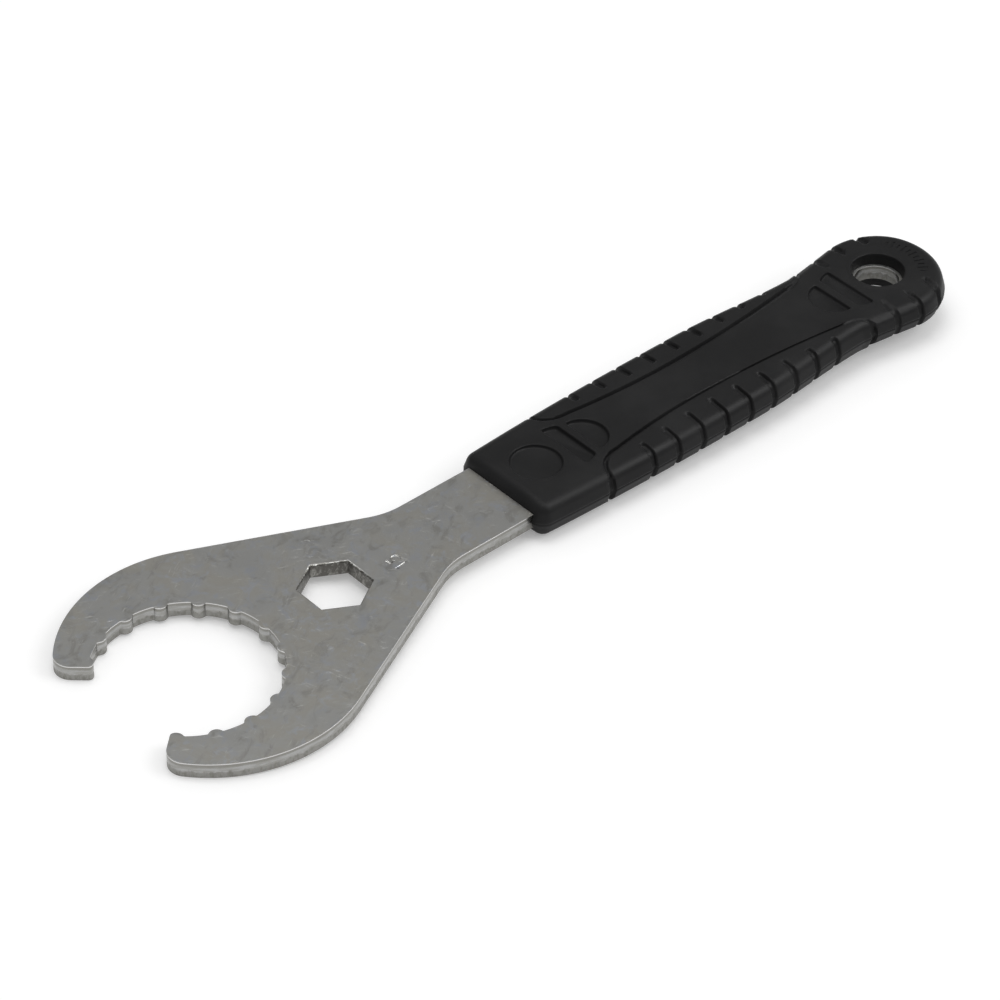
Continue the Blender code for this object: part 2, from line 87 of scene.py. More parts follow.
def polar(radius: float, angle: float, centre: Point = (0.0, 0.0)) -> Point:
    """Returns the point at a radius and an angle from a centre."""
    turn = math.radians(angle)
    return centre[0] + radius * math.cos(turn), centre[1] + radius * math.sin(turn)


def arc(centre: Point, radius: float, start: float, end: float, steps: int) -> list[Point]:
    """Draws an arc.

    Args:
        centre: The arc's centre.
        radius: The arc's radius.
        start: The angle of its first point.
        end: The angle of its last point.
        steps: How many chords it has.

    Returns:
        The points on the arc, both ends included.
    """
    return [polar(radius, start + (end - start) * step / steps, centre) for step in range(steps + 1)]


def angle_of(point: Point, centre: Point = (0.0, 0.0)) -> float:
    """Returns the direction from a centre to a point."""
    return math.degrees(math.atan2(point[1] - centre[1], point[0] - centre[0]))


def rotated(points: Sequence[Point], angle: float) -> list[Point]:
    """Returns the points turned about the origin."""
    turn = math.radians(angle)
    cosine, sine = math.cos(turn), math.sin(turn)
    return [(x * cosine - y * sine, x * sine + y * cosine) for x, y in points]


def smooth(low: float, high: float, value: np.ndarray) -> np.ndarray:
    """Rises smoothly from 0 at the low value to 1 at the high one.

    Args:
        low: Where the rise starts.
        high: Where the rise ends.
        value: The numbers to look up.

    Returns:
        A share between 0 and 1 for each number.
    """
    share = np.clip((np.asarray(value, float) - low) / (high - low), 0.0, 1.0)
    return share * share * (3.0 - 2.0 * share)


def object_of(shape: bmesh.types.BMesh, name: str) -> bpy.types.Object:
    """Turns a bmesh into an object of the scene.

    Args:
        shape: The mesh, which is used up.
        name: The name of the object and its mesh.

    Returns:
        The new object.
    """
    data = bpy.data.meshes.new(name)
    shape.to_mesh(data)
    shape.free()
    item = bpy.data.objects.new(name, data)
    bpy.context.scene.collection.objects.link(item)
    return item


def cut(item: bpy.types.Object, cutter: bpy.types.Object) -> None:
    """Takes a cutter's volume away from a piece for good, and removes the cutter."""
    modifier = item.modifiers.new(cutter.name, "BOOLEAN")
    modifier.operation = "DIFFERENCE"
    modifier.object = cutter
    modifier.solver = "MANIFOLD"
    graph = bpy.context.evaluated_depsgraph_get()
    done = bpy.data.meshes.new_from_object(item.evaluated_get(graph))
    item.modifiers.remove(modifier)
    before = item.data
    item.data = done
    bpy.data.meshes.remove(before)
    done.name = item.name
    bpy.data.objects.remove(cutter, do_unlink=True)


def raise_faces(shape: bmesh.types.BMesh, faces: list[bmesh.types.BMFace], height: float) -> None:
    """Extrudes flat faces upwards by a height, and turns every face out."""
    grown = bmesh.ops.extrude_face_region(shape, geom=faces)
    risen = [part for part in grown["geom"] if isinstance(part, bmesh.types.BMVert)]
    bmesh.ops.translate(shape, verts=risen, vec=(0.0, 0.0, height))
    bmesh.ops.recalc_face_normals(shape, faces=shape.faces)


def prism(name: str, outline: Sequence[Point], low: float, high: float) -> bpy.types.Object:
    """Extrudes a closed outline between two heights.

    Args:
        name: The name of the object.
        outline: The outline's corners.
        low: The height of its base.
        high: The height of its top.

    Returns:
        The solid, with its faces pointing out.
    """
    shape = bmesh.new()
    base = shape.faces.new([shape.verts.new((x, y, low)) for x, y in outline])
    raise_faces(shape, [base], high - low)
    return object_of(shape, name)


def lofted(name: str, loops: Sequence[Sequence[Sequence[float]]]) -> bpy.types.Object:
    """Raises a solid through loops that all have as many points.

    Args:
        name: The name of the object.
        loops: The loops from the base to the top.

    Returns:
        The solid, with its faces pointing out.
    """
    shape = bmesh.new()
    cap = shape.faces.new([shape.verts.new(point) for point in loops[0]])
    for below, above in zip(loops, loops[1:]):
        target = {tuple(round(part, 8) for part in old): new for old, new in zip(below, above)}
        grown = bmesh.ops.extrude_face_region(shape, geom=[cap])
        if below is not loops[0]:
            bmesh.ops.delete(shape, geom=[cap], context="FACES_ONLY")
        cap = next(part for part in grown["geom"] if isinstance(part, bmesh.types.BMFace))
        for vertex in cap.verts:
            nearest = min(target, key=lambda place: (Vector(place) - vertex.co).length_squared)
            vertex.co = target[nearest]
    bmesh.ops.recalc_face_normals(shape, faces=shape.faces)
    return object_of(shape, name)


class Bench:
    """Lays out the nodes of one material or world."""

    def __init__(self, owner: bpy.types.Material | bpy.types.World) -> None:
        """Starts the node tree of a material or world."""
        owner.use_nodes = True
        self.owner = owner
        self.tree = owner.node_tree
        self.shader = self.tree.nodes.get("Principled BSDF")
        self.count = 0

    def node(self, kind: str, *values: object, **settings: object) -> bpy.types.Node:
        """Adds a node.

        Args:
            kind: The node's type, without its prefix.
            *values: What its first inputs are fed with, in their order.
            **settings: The node's own properties.

        Returns:
            The new node.
        """
        made = self.tree.nodes.new("ShaderNode" + kind)
        made.location = (-220 * (1 + self.count % 6), -260 * (self.count // 6))
        self.count += 1
        for key, value in settings.items():
            setattr(made, key, value)
        for socket, value in zip(made.inputs, values):
            self.feed(socket, value)
        return made

    def feed(self, socket: bpy.types.NodeSocket, value: object) -> None:
        """Sets a socket to a number or colour, or links it to another node's output."""
        if isinstance(value, bpy.types.NodeSocket):
            self.tree.links.new(value, socket)
        else:
            socket.default_value = value

    def place(self, scale: Sequence[float] = (1.0, 1.0, 1.0), turn: float = 0.0) -> bpy.types.NodeSocket:
        """Reads a piece's own coordinates.

        Args:
            scale: How much finer the pattern is along each axis.
            turn: The turn of the pattern about the Z axis.

        Returns:
            The coordinates' socket.
        """
        source = self.node("TexCoord")
        mapping = self.node("Mapping", vector_type="TEXTURE")
        mapping.inputs["Location"].default_value = REST.ring_centre
        mapping.inputs["Scale"].default_value = [1.0 / number for number in scale]
        mapping.inputs["Rotation"].default_value = (0.0, REST.slope, math.radians(turn))
        self.feed(mapping.inputs["Vector"], source.outputs["Object"])
        return mapping.outputs["Vector"]

    def height(self) -> bpy.types.NodeSocket:
        """Returns the height above the middle of the steel's thickness, in metres."""
        return self.node("SeparateXYZ", self.place()).outputs["Z"]

    def noise(self, where: bpy.types.NodeSocket, scale: float, detail: float = 3.0,
              roughness: float = 0.5, distortion: float = 0.0) -> bpy.types.NodeSocket:
        """Adds a noise.

        Args:
            where: The coordinates that it reads.
            scale: Its frequency, in cells a metre.
            detail: How many finer layers it has.
            roughness: How strong the finer layers are.
            distortion: How much it is stirred.

        Returns:
            The noise's value, around one half.
        """
        made = self.node("TexNoise", noise_dimensions="3D")
        self.feed(made.inputs["Vector"], where)
        self.feed(made.inputs["Scale"], scale)
        self.feed(made.inputs["Detail"], detail)
        self.feed(made.inputs["Roughness"], roughness)
        self.feed(made.inputs["Distortion"], distortion)
        return made.outputs["Fac"]

    def ramp(self, value: bpy.types.NodeSocket, low: float, high: float, start: float = 0.0,
             end: float = 1.0) -> bpy.types.NodeSocket:
        """Maps a value from one range to another, and keeps it there.

        Args:
            value: The value's socket.
            low: The value that gives the start.
            high: The value that gives the end.
            start: The result at the low value.
            end: The result at the high value.

        Returns:
            The result's socket.
        """
        made = self.node("MapRange", value, low, high, start, end, interpolation_type="SMOOTHSTEP")
        return made.outputs["Result"]

    def maths(self, operation: str, *values: object) -> bpy.types.NodeSocket:
        """Works out one sum of sockets or numbers, and returns its result's socket."""
        return self.node("Math", *values, operation=operation).outputs["Value"]

    def blend(self, share: object, first: object, second: object) -> bpy.types.NodeSocket:
        """Blends two colours.

        Args:
            share: How much of the second colour shows.
            first: A colour or its socket.
            second: A colour or its socket.

        Returns:
            The blended colour's socket.
        """
        made = self.node("Mix", data_type="RGBA")
        self.feed(made.inputs["Factor"], share)
        for socket, value in ((made.inputs[6], first), (made.inputs[7], second)):
            self.feed(socket, value if isinstance(value, bpy.types.NodeSocket) else (*value, 1.0))
        return made.outputs[2]

    def relief(self, height: bpy.types.NodeSocket, distance: float, strength: float = 1.0) -> None:
        """Adds a bump to the shader, on top of any bump that it already has."""
        made = self.node("Bump")
        self.feed(made.inputs["Height"], height)
        self.feed(made.inputs["Distance"], distance)
        self.feed(made.inputs["Strength"], strength)
        under = self.shader.inputs["Normal"].links
        if under:
            self.feed(made.inputs["Normal"], under[0].from_socket)
        self.feed(self.shader.inputs["Normal"], made.outputs["Normal"])


@dataclass(frozen=True)
class SatinSteel:
    """The flat faces of the sheet: plated, softly blotched and lightly scratched."""

    colour: Colour = (0.400, 0.400, 0.388)
    warm: Colour = (0.365, 0.355, 0.325)
    cool: Colour = (0.375, 0.388, 0.412)
    smudge: Colour = (0.315, 0.310, 0.292)
    bare: Colour = (0.490, 0.490, 0.475)
    roughness: float = 0.36
    blotch: float = 90.0
    mottle: float = 300.0
    stir: float = 170.0
    scratch: float = 260.0
    scratch_stretch: float = 14.0
    scratch_turns: tuple[float, ...] = (17.0, 64.0, 118.0)
    scratch_depth: float = 0.008 * MM
    mottle_depth: float = 0.02 * MM

    def build(self) -> bpy.types.Material:
        """Returns the material."""
        bench = Bench(bpy.data.materials.new(Finish.SATIN_STEEL.value))
        whole = bench.place()
        broad = bench.noise(whole, self.blotch, 4.0, 0.6, 0.6)
        fine = bench.noise(whole, self.mottle, 5.0, 0.62, 0.8)
        tone = bench.blend(bench.ramp(broad, 0.42, 0.62), self.colour, self.warm)
        tone = bench.blend(bench.ramp(fine, 0.50, 0.66, 0.0, 0.9), tone, self.cool)
        stirred = bench.noise(bench.place((1.0, 1.5, 1.0), 24.0), self.stir, 6.0, 0.66, 0.8)
        tone = bench.blend(bench.ramp(stirred, 0.50, 0.66, 0.0, 0.9), tone, self.smudge)
        bench.feed(bench.shader.inputs["Metallic"], 1.0)
        rough = bench.ramp(broad, 0.30, 0.70, self.roughness - 0.03, self.roughness + 0.05)
        for turn in self.scratch_turns:
            lines = bench.noise(bench.place((self.scratch_stretch, 1.0, 1.0), turn), self.scratch, 2.0)
            scratch = bench.ramp(lines, 0.69, 0.74)
            rough = bench.maths("ADD", rough, bench.maths("MULTIPLY", scratch, 0.10))
            tone = bench.blend(bench.maths("MULTIPLY", scratch, 0.7), tone, self.bare)
            bench.relief(bench.maths("SUBTRACT", 1.0, scratch), self.scratch_depth)
        bench.feed(bench.shader.inputs["Base Color"], tone)
        bench.feed(bench.shader.inputs["Roughness"], rough)
        bench.relief(fine, self.mottle_depth, 0.5)
        return bench.owner


@dataclass(frozen=True)
class PunchedSteel:
    """Punched walls: painted highlight on the top edge, painted shade below it, a smooth band, a rough break.
    """

    # Painted highlight colour for the rounded top edge of each wall.
    painted_highlight: Colour = (0.66, 0.66, 0.65)
    polished: Colour = (0.385, 0.385, 0.38)
    colour: Colour = (0.315, 0.312, 0.295)
    # Colour of the stains in the rough break, also painted as a band of shade under the top edge.
    stain_and_shade: Colour = (0.235, 0.23, 0.21)
    band: float = -0.3 * MM
    band_fade: float = 0.35 * MM
    band_wave: float = 520.0
    band_swing: float = 2.2 * MM
    # Heights over which the painted band of shade under the top edge fades in.
    line: float = 0.75 * MM
    line_end: float = 1.25 * MM
    # Height above which the painted highlight covers the rounded top edge.
    highlight_height: float = 1.68 * MM
    highlight_fade: float = 0.15 * MM
    roughness: float = 0.24
    grain: float = 1100.0
    torn_depth: float = 0.05 * MM
    drawn_depth: float = 0.03 * MM

    def build(self) -> bpy.types.Material:
        """Returns the material."""
        bench = Bench(bpy.data.materials.new(Finish.PUNCHED_STEEL.value))
        height = bench.height()
        wave = bench.noise(bench.place((1.0, 1.0, 0.3)), self.band_wave, 3.0, 0.6)
        shift = bench.maths("MULTIPLY", bench.maths("SUBTRACT", wave, 0.5), self.band_swing)
        shifted = bench.maths("ADD", height, shift)
        above = bench.ramp(shifted, self.band - self.band_fade, self.band + self.band_fade)
        torn = bench.noise(bench.place((1.0, 1.0, 0.45)), self.grain, 4.0, 0.68)
        drawn = bench.noise(bench.place((0.22, 0.22, 1.5)), self.grain, 3.0, 0.6)
        rough_tone = bench.blend(bench.ramp(torn, 0.42, 0.66), self.colour, self.stain_and_shade)
        smooth_tone = bench.blend(bench.ramp(drawn, 0.40, 0.60), self.polished, self.colour)
        tone = bench.blend(above, rough_tone, smooth_tone)
        waved = bench.maths("ADD", height, bench.maths("MULTIPLY", shift, 0.25))
        # Painted shade: a dark band in the stains' colour just under the top edge.
        tone = bench.blend(bench.ramp(waved, self.line, self.line_end, 0.0, 0.85), tone, self.stain_and_shade)
        # Painted highlight: a bright colour over the rounded top edge of the wall.
        painted_highlight = bench.ramp(height, self.highlight_height, self.highlight_height + self.highlight_fade)
        tone = bench.blend(painted_highlight, tone, self.painted_highlight)
        bench.feed(bench.shader.inputs["Base Color"], tone)
        bench.feed(bench.shader.inputs["Metallic"], 1.0)
        bench.feed(bench.shader.inputs["Roughness"], bench.ramp(above, 0.0, 1.0, 0.5, self.roughness))
        below = bench.maths("SUBTRACT", 1.0, above)
        bench.relief(bench.maths("MULTIPLY", torn, below), self.torn_depth)
        bench.relief(drawn, self.drawn_depth, 0.5)
        return bench.owner


@dataclass(frozen=True)
class BroachedSteel:
    """Hexagon walls, dark and torn, with a painted glint in broken dashes along the burred top edge."""

    colour: Colour = (0.125, 0.12, 0.11)
    bright: Colour = (0.31, 0.305, 0.285)
    # Painted glint colour for the burred top edge.
    burr_glint: Colour = (0.36, 0.36, 0.345)
    glint_height: float = 1.72 * MM
    burr_break: float = 1100.0
    roughness: float = 0.42
    grain: float = 900.0
    torn_depth: float = 0.16 * MM

    def build(self) -> bpy.types.Material:
        """Returns the material."""
        bench = Bench(bpy.data.materials.new(Finish.BROACHED_STEEL.value))
        torn = bench.noise(bench.place((1.0, 1.0, 0.7)), self.grain, 5.0, 0.7, 0.5)
        tone = bench.blend(bench.ramp(torn, 0.46, 0.66), self.colour, self.bright)
        # Painted glint: a brighter colour in broken dashes at the top of the walls, where the roughness also
        # drops.
        broken = bench.ramp(bench.noise(bench.place(), self.burr_break, 1.0), 0.50, 0.56)
        top = bench.ramp(bench.height(), self.glint_height - 0.15 * MM, self.glint_height + 0.1 * MM)
        edge = bench.maths("MULTIPLY", broken, top)
        bench.feed(bench.shader.inputs["Base Color"], bench.blend(edge, tone, self.burr_glint))
        bench.feed(bench.shader.inputs["Metallic"], 1.0)
        bench.feed(bench.shader.inputs["Roughness"], bench.ramp(edge, 0.0, 1.0, self.roughness, 0.3))
        bench.relief(torn, self.torn_depth)
        return bench.owner


@dataclass(frozen=True)
class BlackMoulding:
    """The matt black moulding, with a faint grain."""

    colour: Colour = (0.0100, 0.0100, 0.0103)
    worn: Colour = (0.0157, 0.0157, 0.0160)
    roughness: float = 0.46
    gloss: float = 0.15
    blotch: float = 60.0
    grain: float = 5200.0
    grain_depth: float = 0.03 * MM

    def build(self) -> bpy.types.Material:
        """Returns the material."""
        bench = Bench(bpy.data.materials.new(Finish.BLACK_MOULDING.value))
        whole = bench.place()
        broad = bench.noise(whole, self.blotch, 4.0, 0.6)
        grain = bench.noise(whole, self.grain, 2.0, 0.5)
        tone = bench.blend(bench.ramp(broad, 0.35, 0.75), self.colour, self.worn)
        bench.feed(bench.shader.inputs["Base Color"], tone)
        bench.shader.inputs["Specular IOR Level"].default_value = self.gloss
        rough = bench.ramp(broad, 0.3, 0.7, self.roughness - 0.03, self.roughness + 0.04)
        bench.feed(bench.shader.inputs["Roughness"], rough)
        bench.relief(grain, self.grain_depth, 0.35)
        return bench.owner


@dataclass
class SteelPlate:
    """The stamped plate: the open lobed ring, the hexagon, the neck, the shank and the tang."""

    thickness: float = 4.0 * MM
    rim: float = 0.50 * MM
    hexagon_rim: float = 0.45 * MM
    ring_radius: float = 22.1 * MM
    notch_pitch: float = 22.5
    last_lobe: int = 6
    lobe_height: float = 1.1 * MM
    lobe_radius: float = 1.9 * MM
    lobe_fillet: float = 0.5 * MM
    jaw_offset: float = 7.5 * MM
    jaw_radius: float = 35.89 * MM
    jaw_margin: float = 3.7
    jaw_corner_radius: float = 4.2 * MM
    jaw_foot_radius: float = 1.0 * MM
    hexagon_x: float = 43.0 * MM
    hexagon_flats: float = 15.2 * MM
    hexagon_zone: float = 0.66
    neck_angle: float = 65.0
    neck_fillet: float = 20.0 * MM
    shank_half: float = 11.3 * MM
    tang_half: float = 8.0 * MM
    tang_step_x: float = 101.648 * MM
    hang_x: float = 222.848 * MM
    tang_hole_radius: float = 5.75 * MM
    tang_hole_points: int = 144
    crease: float = 50.0

    def half_lobe(self) -> list[Point]:
        """Returns half of a lobe that points at the ring's centre from +X, tip first."""
        nose = (self.ring_radius - self.lobe_height + self.lobe_radius, 0.0)
        reach = self.ring_radius - self.lobe_fillet
        cosine = reach ** 2 + nose[0] ** 2 - (self.lobe_radius + self.lobe_fillet) ** 2
        swing = math.degrees(math.acos(cosine / (2.0 * reach * nose[0])))
        fillet = polar(reach, swing)
        touch = angle_of(fillet, nose)
        tip = arc(nose, self.lobe_radius, 180.0, touch, 9)
        return tip + arc(fillet, self.lobe_fillet, touch - 180.0, swing, 5)[1:]

    def jaw_foot(self) -> list[Point]:
        """Returns the rounded foot of the jaw's end face, where it meets a lobe on the X axis."""
        nose = self.ring_radius - self.lobe_height + self.lobe_radius
        margin = math.radians(self.jaw_margin)
        cosine, sine = math.cos(margin), math.sin(margin)
        radius = self.jaw_foot_radius
        inner = (self.lobe_radius - radius) ** 2 - radius ** 2
        reach = nose * cosine - math.sqrt(inner + 2.0 * nose * radius * sine - (nose * sine) ** 2)
        centre = (reach * cosine + radius * sine, reach * sine - radius * cosine)
        return arc(centre, radius, 90.0 + self.jaw_margin, angle_of(centre, (nose, 0.0)), 8)

    def ring_side(self) -> list[Point]:
        """Returns the ring's inside from the jaw's end face to the tip of the lobe on the axis."""
        half = self.half_lobe()
        lobe = half[::-1] + [(x, -y) for x, y in half[1:]]
        foot = self.jaw_foot()
        first = [point for point in lobe if angle_of(point) < angle_of(foot[-1]) - 0.1]
        points = rotated(foot + first, self.last_lobe * self.notch_pitch)
        for number in range(self.last_lobe - 1, -1, -1):
            upcoming = rotated(half[::-1] if number == 0 else lobe, number * self.notch_pitch)
            start = angle_of(points[-1])
            points += arc((0.0, 0.0), self.ring_radius, start, angle_of(upcoming[0]), 10)[1:-1]
            points += upcoming
        return points

    def jaw_corner(self) -> list[Point]:
        """Returns the rounded corner between the jaw's outside and its end face."""
        end_angle = self.last_lobe * self.notch_pitch + self.jaw_margin
        facing = polar(1.0, end_angle)
        radius = self.jaw_corner_radius
        inward = (facing[1] * radius, -facing[0] * radius)
        offset = (inward[0] - self.jaw_offset, inward[1])
        along = self.jaw_offset * facing[0]
        spare = offset[0] ** 2 + offset[1] ** 2 - (self.jaw_radius - radius) ** 2
        distance = along + math.sqrt(along ** 2 - spare)
        centre = (distance * facing[0] + inward[0], distance * facing[1] + inward[1])
        start = angle_of(centre, (self.jaw_offset, 0.0))
        return arc(centre, radius, start, end_angle + 90.0, 14)

    def neck(self) -> list[Point]:
        """Returns the concave fillet between the neck's straight flank and the shank."""
        flank = polar(1.0, self.neck_angle)
        height = self.shank_half + self.neck_fillet
        reach = flank[0] * self.jaw_offset + self.jaw_radius + self.neck_fillet
        centre = ((reach - flank[1] * height) / flank[0], height)
        return arc(centre, self.neck_fillet, 270.0, 180.0 + self.neck_angle, 28)

    def tang(self, clearance: float = 0.0) -> list[Point]:
        """Returns half of the tang's outline from its round end to the shank, grown by a clearance."""
        step = self.tang_step_x + clearance * math.tan(math.radians(22.5))
        points = arc((self.hang_x, 0.0), self.tang_half + clearance, 0.0, 90.0, 40)
        points.append((step + self.shank_half - self.tang_half, self.tang_half + clearance))
        points.append((step, self.shank_half + clearance))
        return points

    def outline(self) -> list[Point]:
        """Returns the outline of the whole plate, anticlockwise from the end of the tang."""
        corner = self.jaw_corner()
        turned = angle_of(corner[0], (self.jaw_offset, 0.0))
        half = self.tang() + self.neck()
        half += arc((self.jaw_offset, 0.0), self.jaw_radius, self.neck_angle, turned, 90)[:-1]
        half += corner + self.ring_side()
        return half + [(x, -y) for x, y in reversed(half[1:-1])]

    def hexagon(self) -> list[Point]:
        """Returns the hexagon's corners."""
        return arc((self.hexagon_x, 0.0), self.hexagon_flats / math.sqrt(3.0), 30.0, 330.0, 5)

    def blank(self) -> bmesh.types.BMesh:
        """Fills the outline round its holes and gives it its thickness.

        Returns:
            The plate with square rims.
        """
        shape = bmesh.new()
        end = 360.0 - 360.0 / self.tang_hole_points
        hole = arc((self.hang_x, 0.0), self.tang_hole_radius, 0.0, end, self.tang_hole_points - 1)
        edges = []
        for loop in (self.outline(), self.hexagon(), hole):
            corners = [shape.verts.new((x, y, -self.thickness / 2)) for x, y in loop]
            edges += [shape.edges.new(pair) for pair in zip(corners, corners[1:] + corners[:1])]
        filled = bmesh.ops.triangle_fill(shape, edges=edges, use_beauty=True, normal=(0.0, 0.0, 1.0))
        faces = [part for part in filled["geom"] if isinstance(part, bmesh.types.BMFace)]
        raise_faces(shape, faces, self.thickness)
        return shape

    def by_hexagon(self, place: Vector) -> bool:
        """Says whether a place belongs to the hexagon's wall or rim."""
        return math.dist(place.xy, (self.hexagon_x, 0.0)) < self.hexagon_flats * self.hexagon_zone

    def round_rims(self, shape: bmesh.types.BMesh) -> None:
        """Rounds the edges between the faces and the punched walls."""
        for near, offset in ((True, self.hexagon_rim), (False, self.rim)):
            rims = [edge for edge in shape.edges
                    if edge.calc_face_angle(0.0) > math.radians(60.0)
                    and abs(edge.verts[0].co.z - edge.verts[1].co.z) < 1e-7
                    and self.by_hexagon(edge.verts[0].co) is near]
            bmesh.ops.bevel(shape, geom=rims, offset=offset, offset_type="OFFSET", affect="EDGES",
                            segments=4, profile=0.5, material=-1, clamp_overlap=True, loop_slide=True)

    def mark_walls(self, shape: bmesh.types.BMesh) -> None:
        """Gives the punched walls and the hexagon's walls their own finish."""
        for face in shape.faces:
            if abs(face.normal.z) < 0.9:
                face.material_index = 2 if self.by_hexagon(face.calc_center_median()) else 1

    def build(self, finishes: dict[Finish, bpy.types.Material]) -> bpy.types.Object:
        """Makes the plate.

        Args:
            finishes: The materials.

        Returns:
            The plate, in the tool's own frame.
        """
        shape = self.blank()
        self.round_rims(shape)
        self.mark_walls(shape)
        plate = object_of(shape, "stamped_plate")
        for finish in (Finish.SATIN_STEEL, Finish.PUNCHED_STEEL, Finish.BROACHED_STEEL):
            plate.data.materials.append(finishes[finish])
        plate.data.shade_smooth()
        plate.data.set_sharp_from_angle(angle=math.radians(self.crease))
        even = plate.modifiers.new("even_normals", "WEIGHTED_NORMAL")
        even.mode = "FACE_AREA"
        even.keep_sharp = True
        return plate


STROKES: dict[str, list[list[Point]]] = {
    "1": [[(0.12, 0.78), (0.34, 1.0), (0.34, 0.0)]],
    "5": [[(0.56, 1.0), (0.12, 1.0), (0.08, 0.56), *arc((0.27, 0.32), 0.31, 125.0, -140.0, 12)]],
}


@dataclass
class SizeStamp:
    """A plain number, struck into the upper face of the plate beside what it measures.

    It reads across the plate towards +Y, with the tops of its digits towards the ring.
    """

    digits: str
    x: float
    y: float
    height: float = 3.2 * MM
    pitch: float = 2.7 * MM
    stroke: float = 0.29 * MM
    depth: float = 0.28 * MM

    def cutter(self, top: float) -> bpy.types.Object:
        """Sweeps a round tool along the digits' strokes.

        Args:
            top: The height of the face that is struck.

        Returns:
            The tool's whole path as one solid.
        """
        curve = bpy.data.curves.new("size_stamp", "CURVE")
        curve.dimensions = "3D"
        curve.bevel_depth = self.stroke
        curve.bevel_resolution = 2
        curve.use_fill_caps = True
        lift = top + self.stroke - self.depth
        for index, digit in enumerate(self.digits):
            for path in STROKES[digit]:
                line = curve.splines.new("POLY")
                line.points.add(len(path) - 1)
                for point, (along, up) in zip(line.points, path):
                    across = self.y + index * self.pitch + along * self.height
                    point.co = (self.x - up * self.height, across, lift, 1.0)
        guide = bpy.data.objects.new("size_stamp_path", curve)
        bpy.context.scene.collection.objects.link(guide)
        seen = guide.evaluated_get(bpy.context.evaluated_depsgraph_get())
        shape = bmesh.new()
        shape.from_mesh(seen.to_mesh())
        bmesh.ops.remove_doubles(shape, verts=shape.verts, dist=1e-6)
        bmesh.ops.recalc_face_normals(shape, faces=shape.faces)
        bpy.data.objects.remove(guide, do_unlink=True)
        return object_of(shape, "size_stamp")


@dataclass(frozen=True)
class Recess:
    """A shallow recess in both faces of the grip, between two chords of a circle.

    near and far are the chords' places along +X from the circle's centre, or along -X where
    facing is -1. A whole disc has its chords beyond the circle.
    """

    name: str
    x: float
    radius: float
    depth: float
    near: float = -1.0
    far: float = 1.0
    facing: int = 1
    corner: float = 0.55 * MM
    rim: float = 0.36 * MM
    foot: float = 0.34 * MM
    draft: float = 14.0
    points: int = 144

    def outline(self) -> np.ndarray:
        """Returns the outline with its corners softened, anticlockwise."""
        wide = math.degrees(math.acos(max(-1.0, min(1.0, self.near / self.radius))))
        narrow = math.degrees(math.acos(max(-1.0, min(1.0, self.far / self.radius))))
        edge = arc((0.0, 0.0), self.radius, -wide, -narrow, 40)
        edge += arc((0.0, 0.0), self.radius, narrow, wide, 40)
        loop = np.array(edge + edge[:1])
        reach = np.concatenate([[0.0], np.cumsum(np.hypot(*np.diff(loop, axis=0).T))])
        even = np.linspace(0.0, reach[-1], self.points, endpoint=False)
        loop = np.column_stack([np.interp(even, reach, loop[:, axis]) for axis in (0, 1)])
        span = max(1, round(self.corner / even[1]))
        loop = sum(np.roll(loop, shift, axis=0) for shift in range(-span, span + 1)) / (2 * span + 1)
        return np.column_stack([self.x + self.facing * loop[:, 0], self.facing * loop[:, 1]])

    def cutter(self, face: float, side: int) -> bpy.types.Object:
        """Makes the recess's cutter, flared so that the recess has a rounded rim.

        Args:
            face: The height of the face that it sinks into.
            side: 1 for the upper face and -1 for the lower one.

        Returns:
            The cutter.
        """
        loop = self.outline()
        run = np.roll(loop, -1, axis=0) - np.roll(loop, 1, axis=0)
        out = np.column_stack([run[:, 1], -run[:, 0]]) / np.hypot(*run.T)[:, None]
        lean = math.tan(math.radians(self.draft))
        floor = face - self.depth
        levels = [(-(self.depth - self.rim) * lean - self.foot, floor),
                  (-(self.depth - self.rim) * lean - 0.3 * self.foot, floor + 0.3 * self.foot),
                  (-(self.depth - self.rim - self.foot) * lean, floor + self.foot)]
        for turn in (0.0, 22.5, 45.0, 67.5, 84.0):
            angle = math.radians(turn)
            levels.append((self.rim * (1.0 - math.cos(angle)), face - self.rim * (1.0 - math.sin(angle))))
        levels.append((self.rim * 1.1, face + MM))
        loops = [[(x, y, side * z) for x, y in loop + out * grow] for grow, z in levels]
        return lofted(f"{self.name}_{'upper' if side > 0 else 'lower'}", loops)


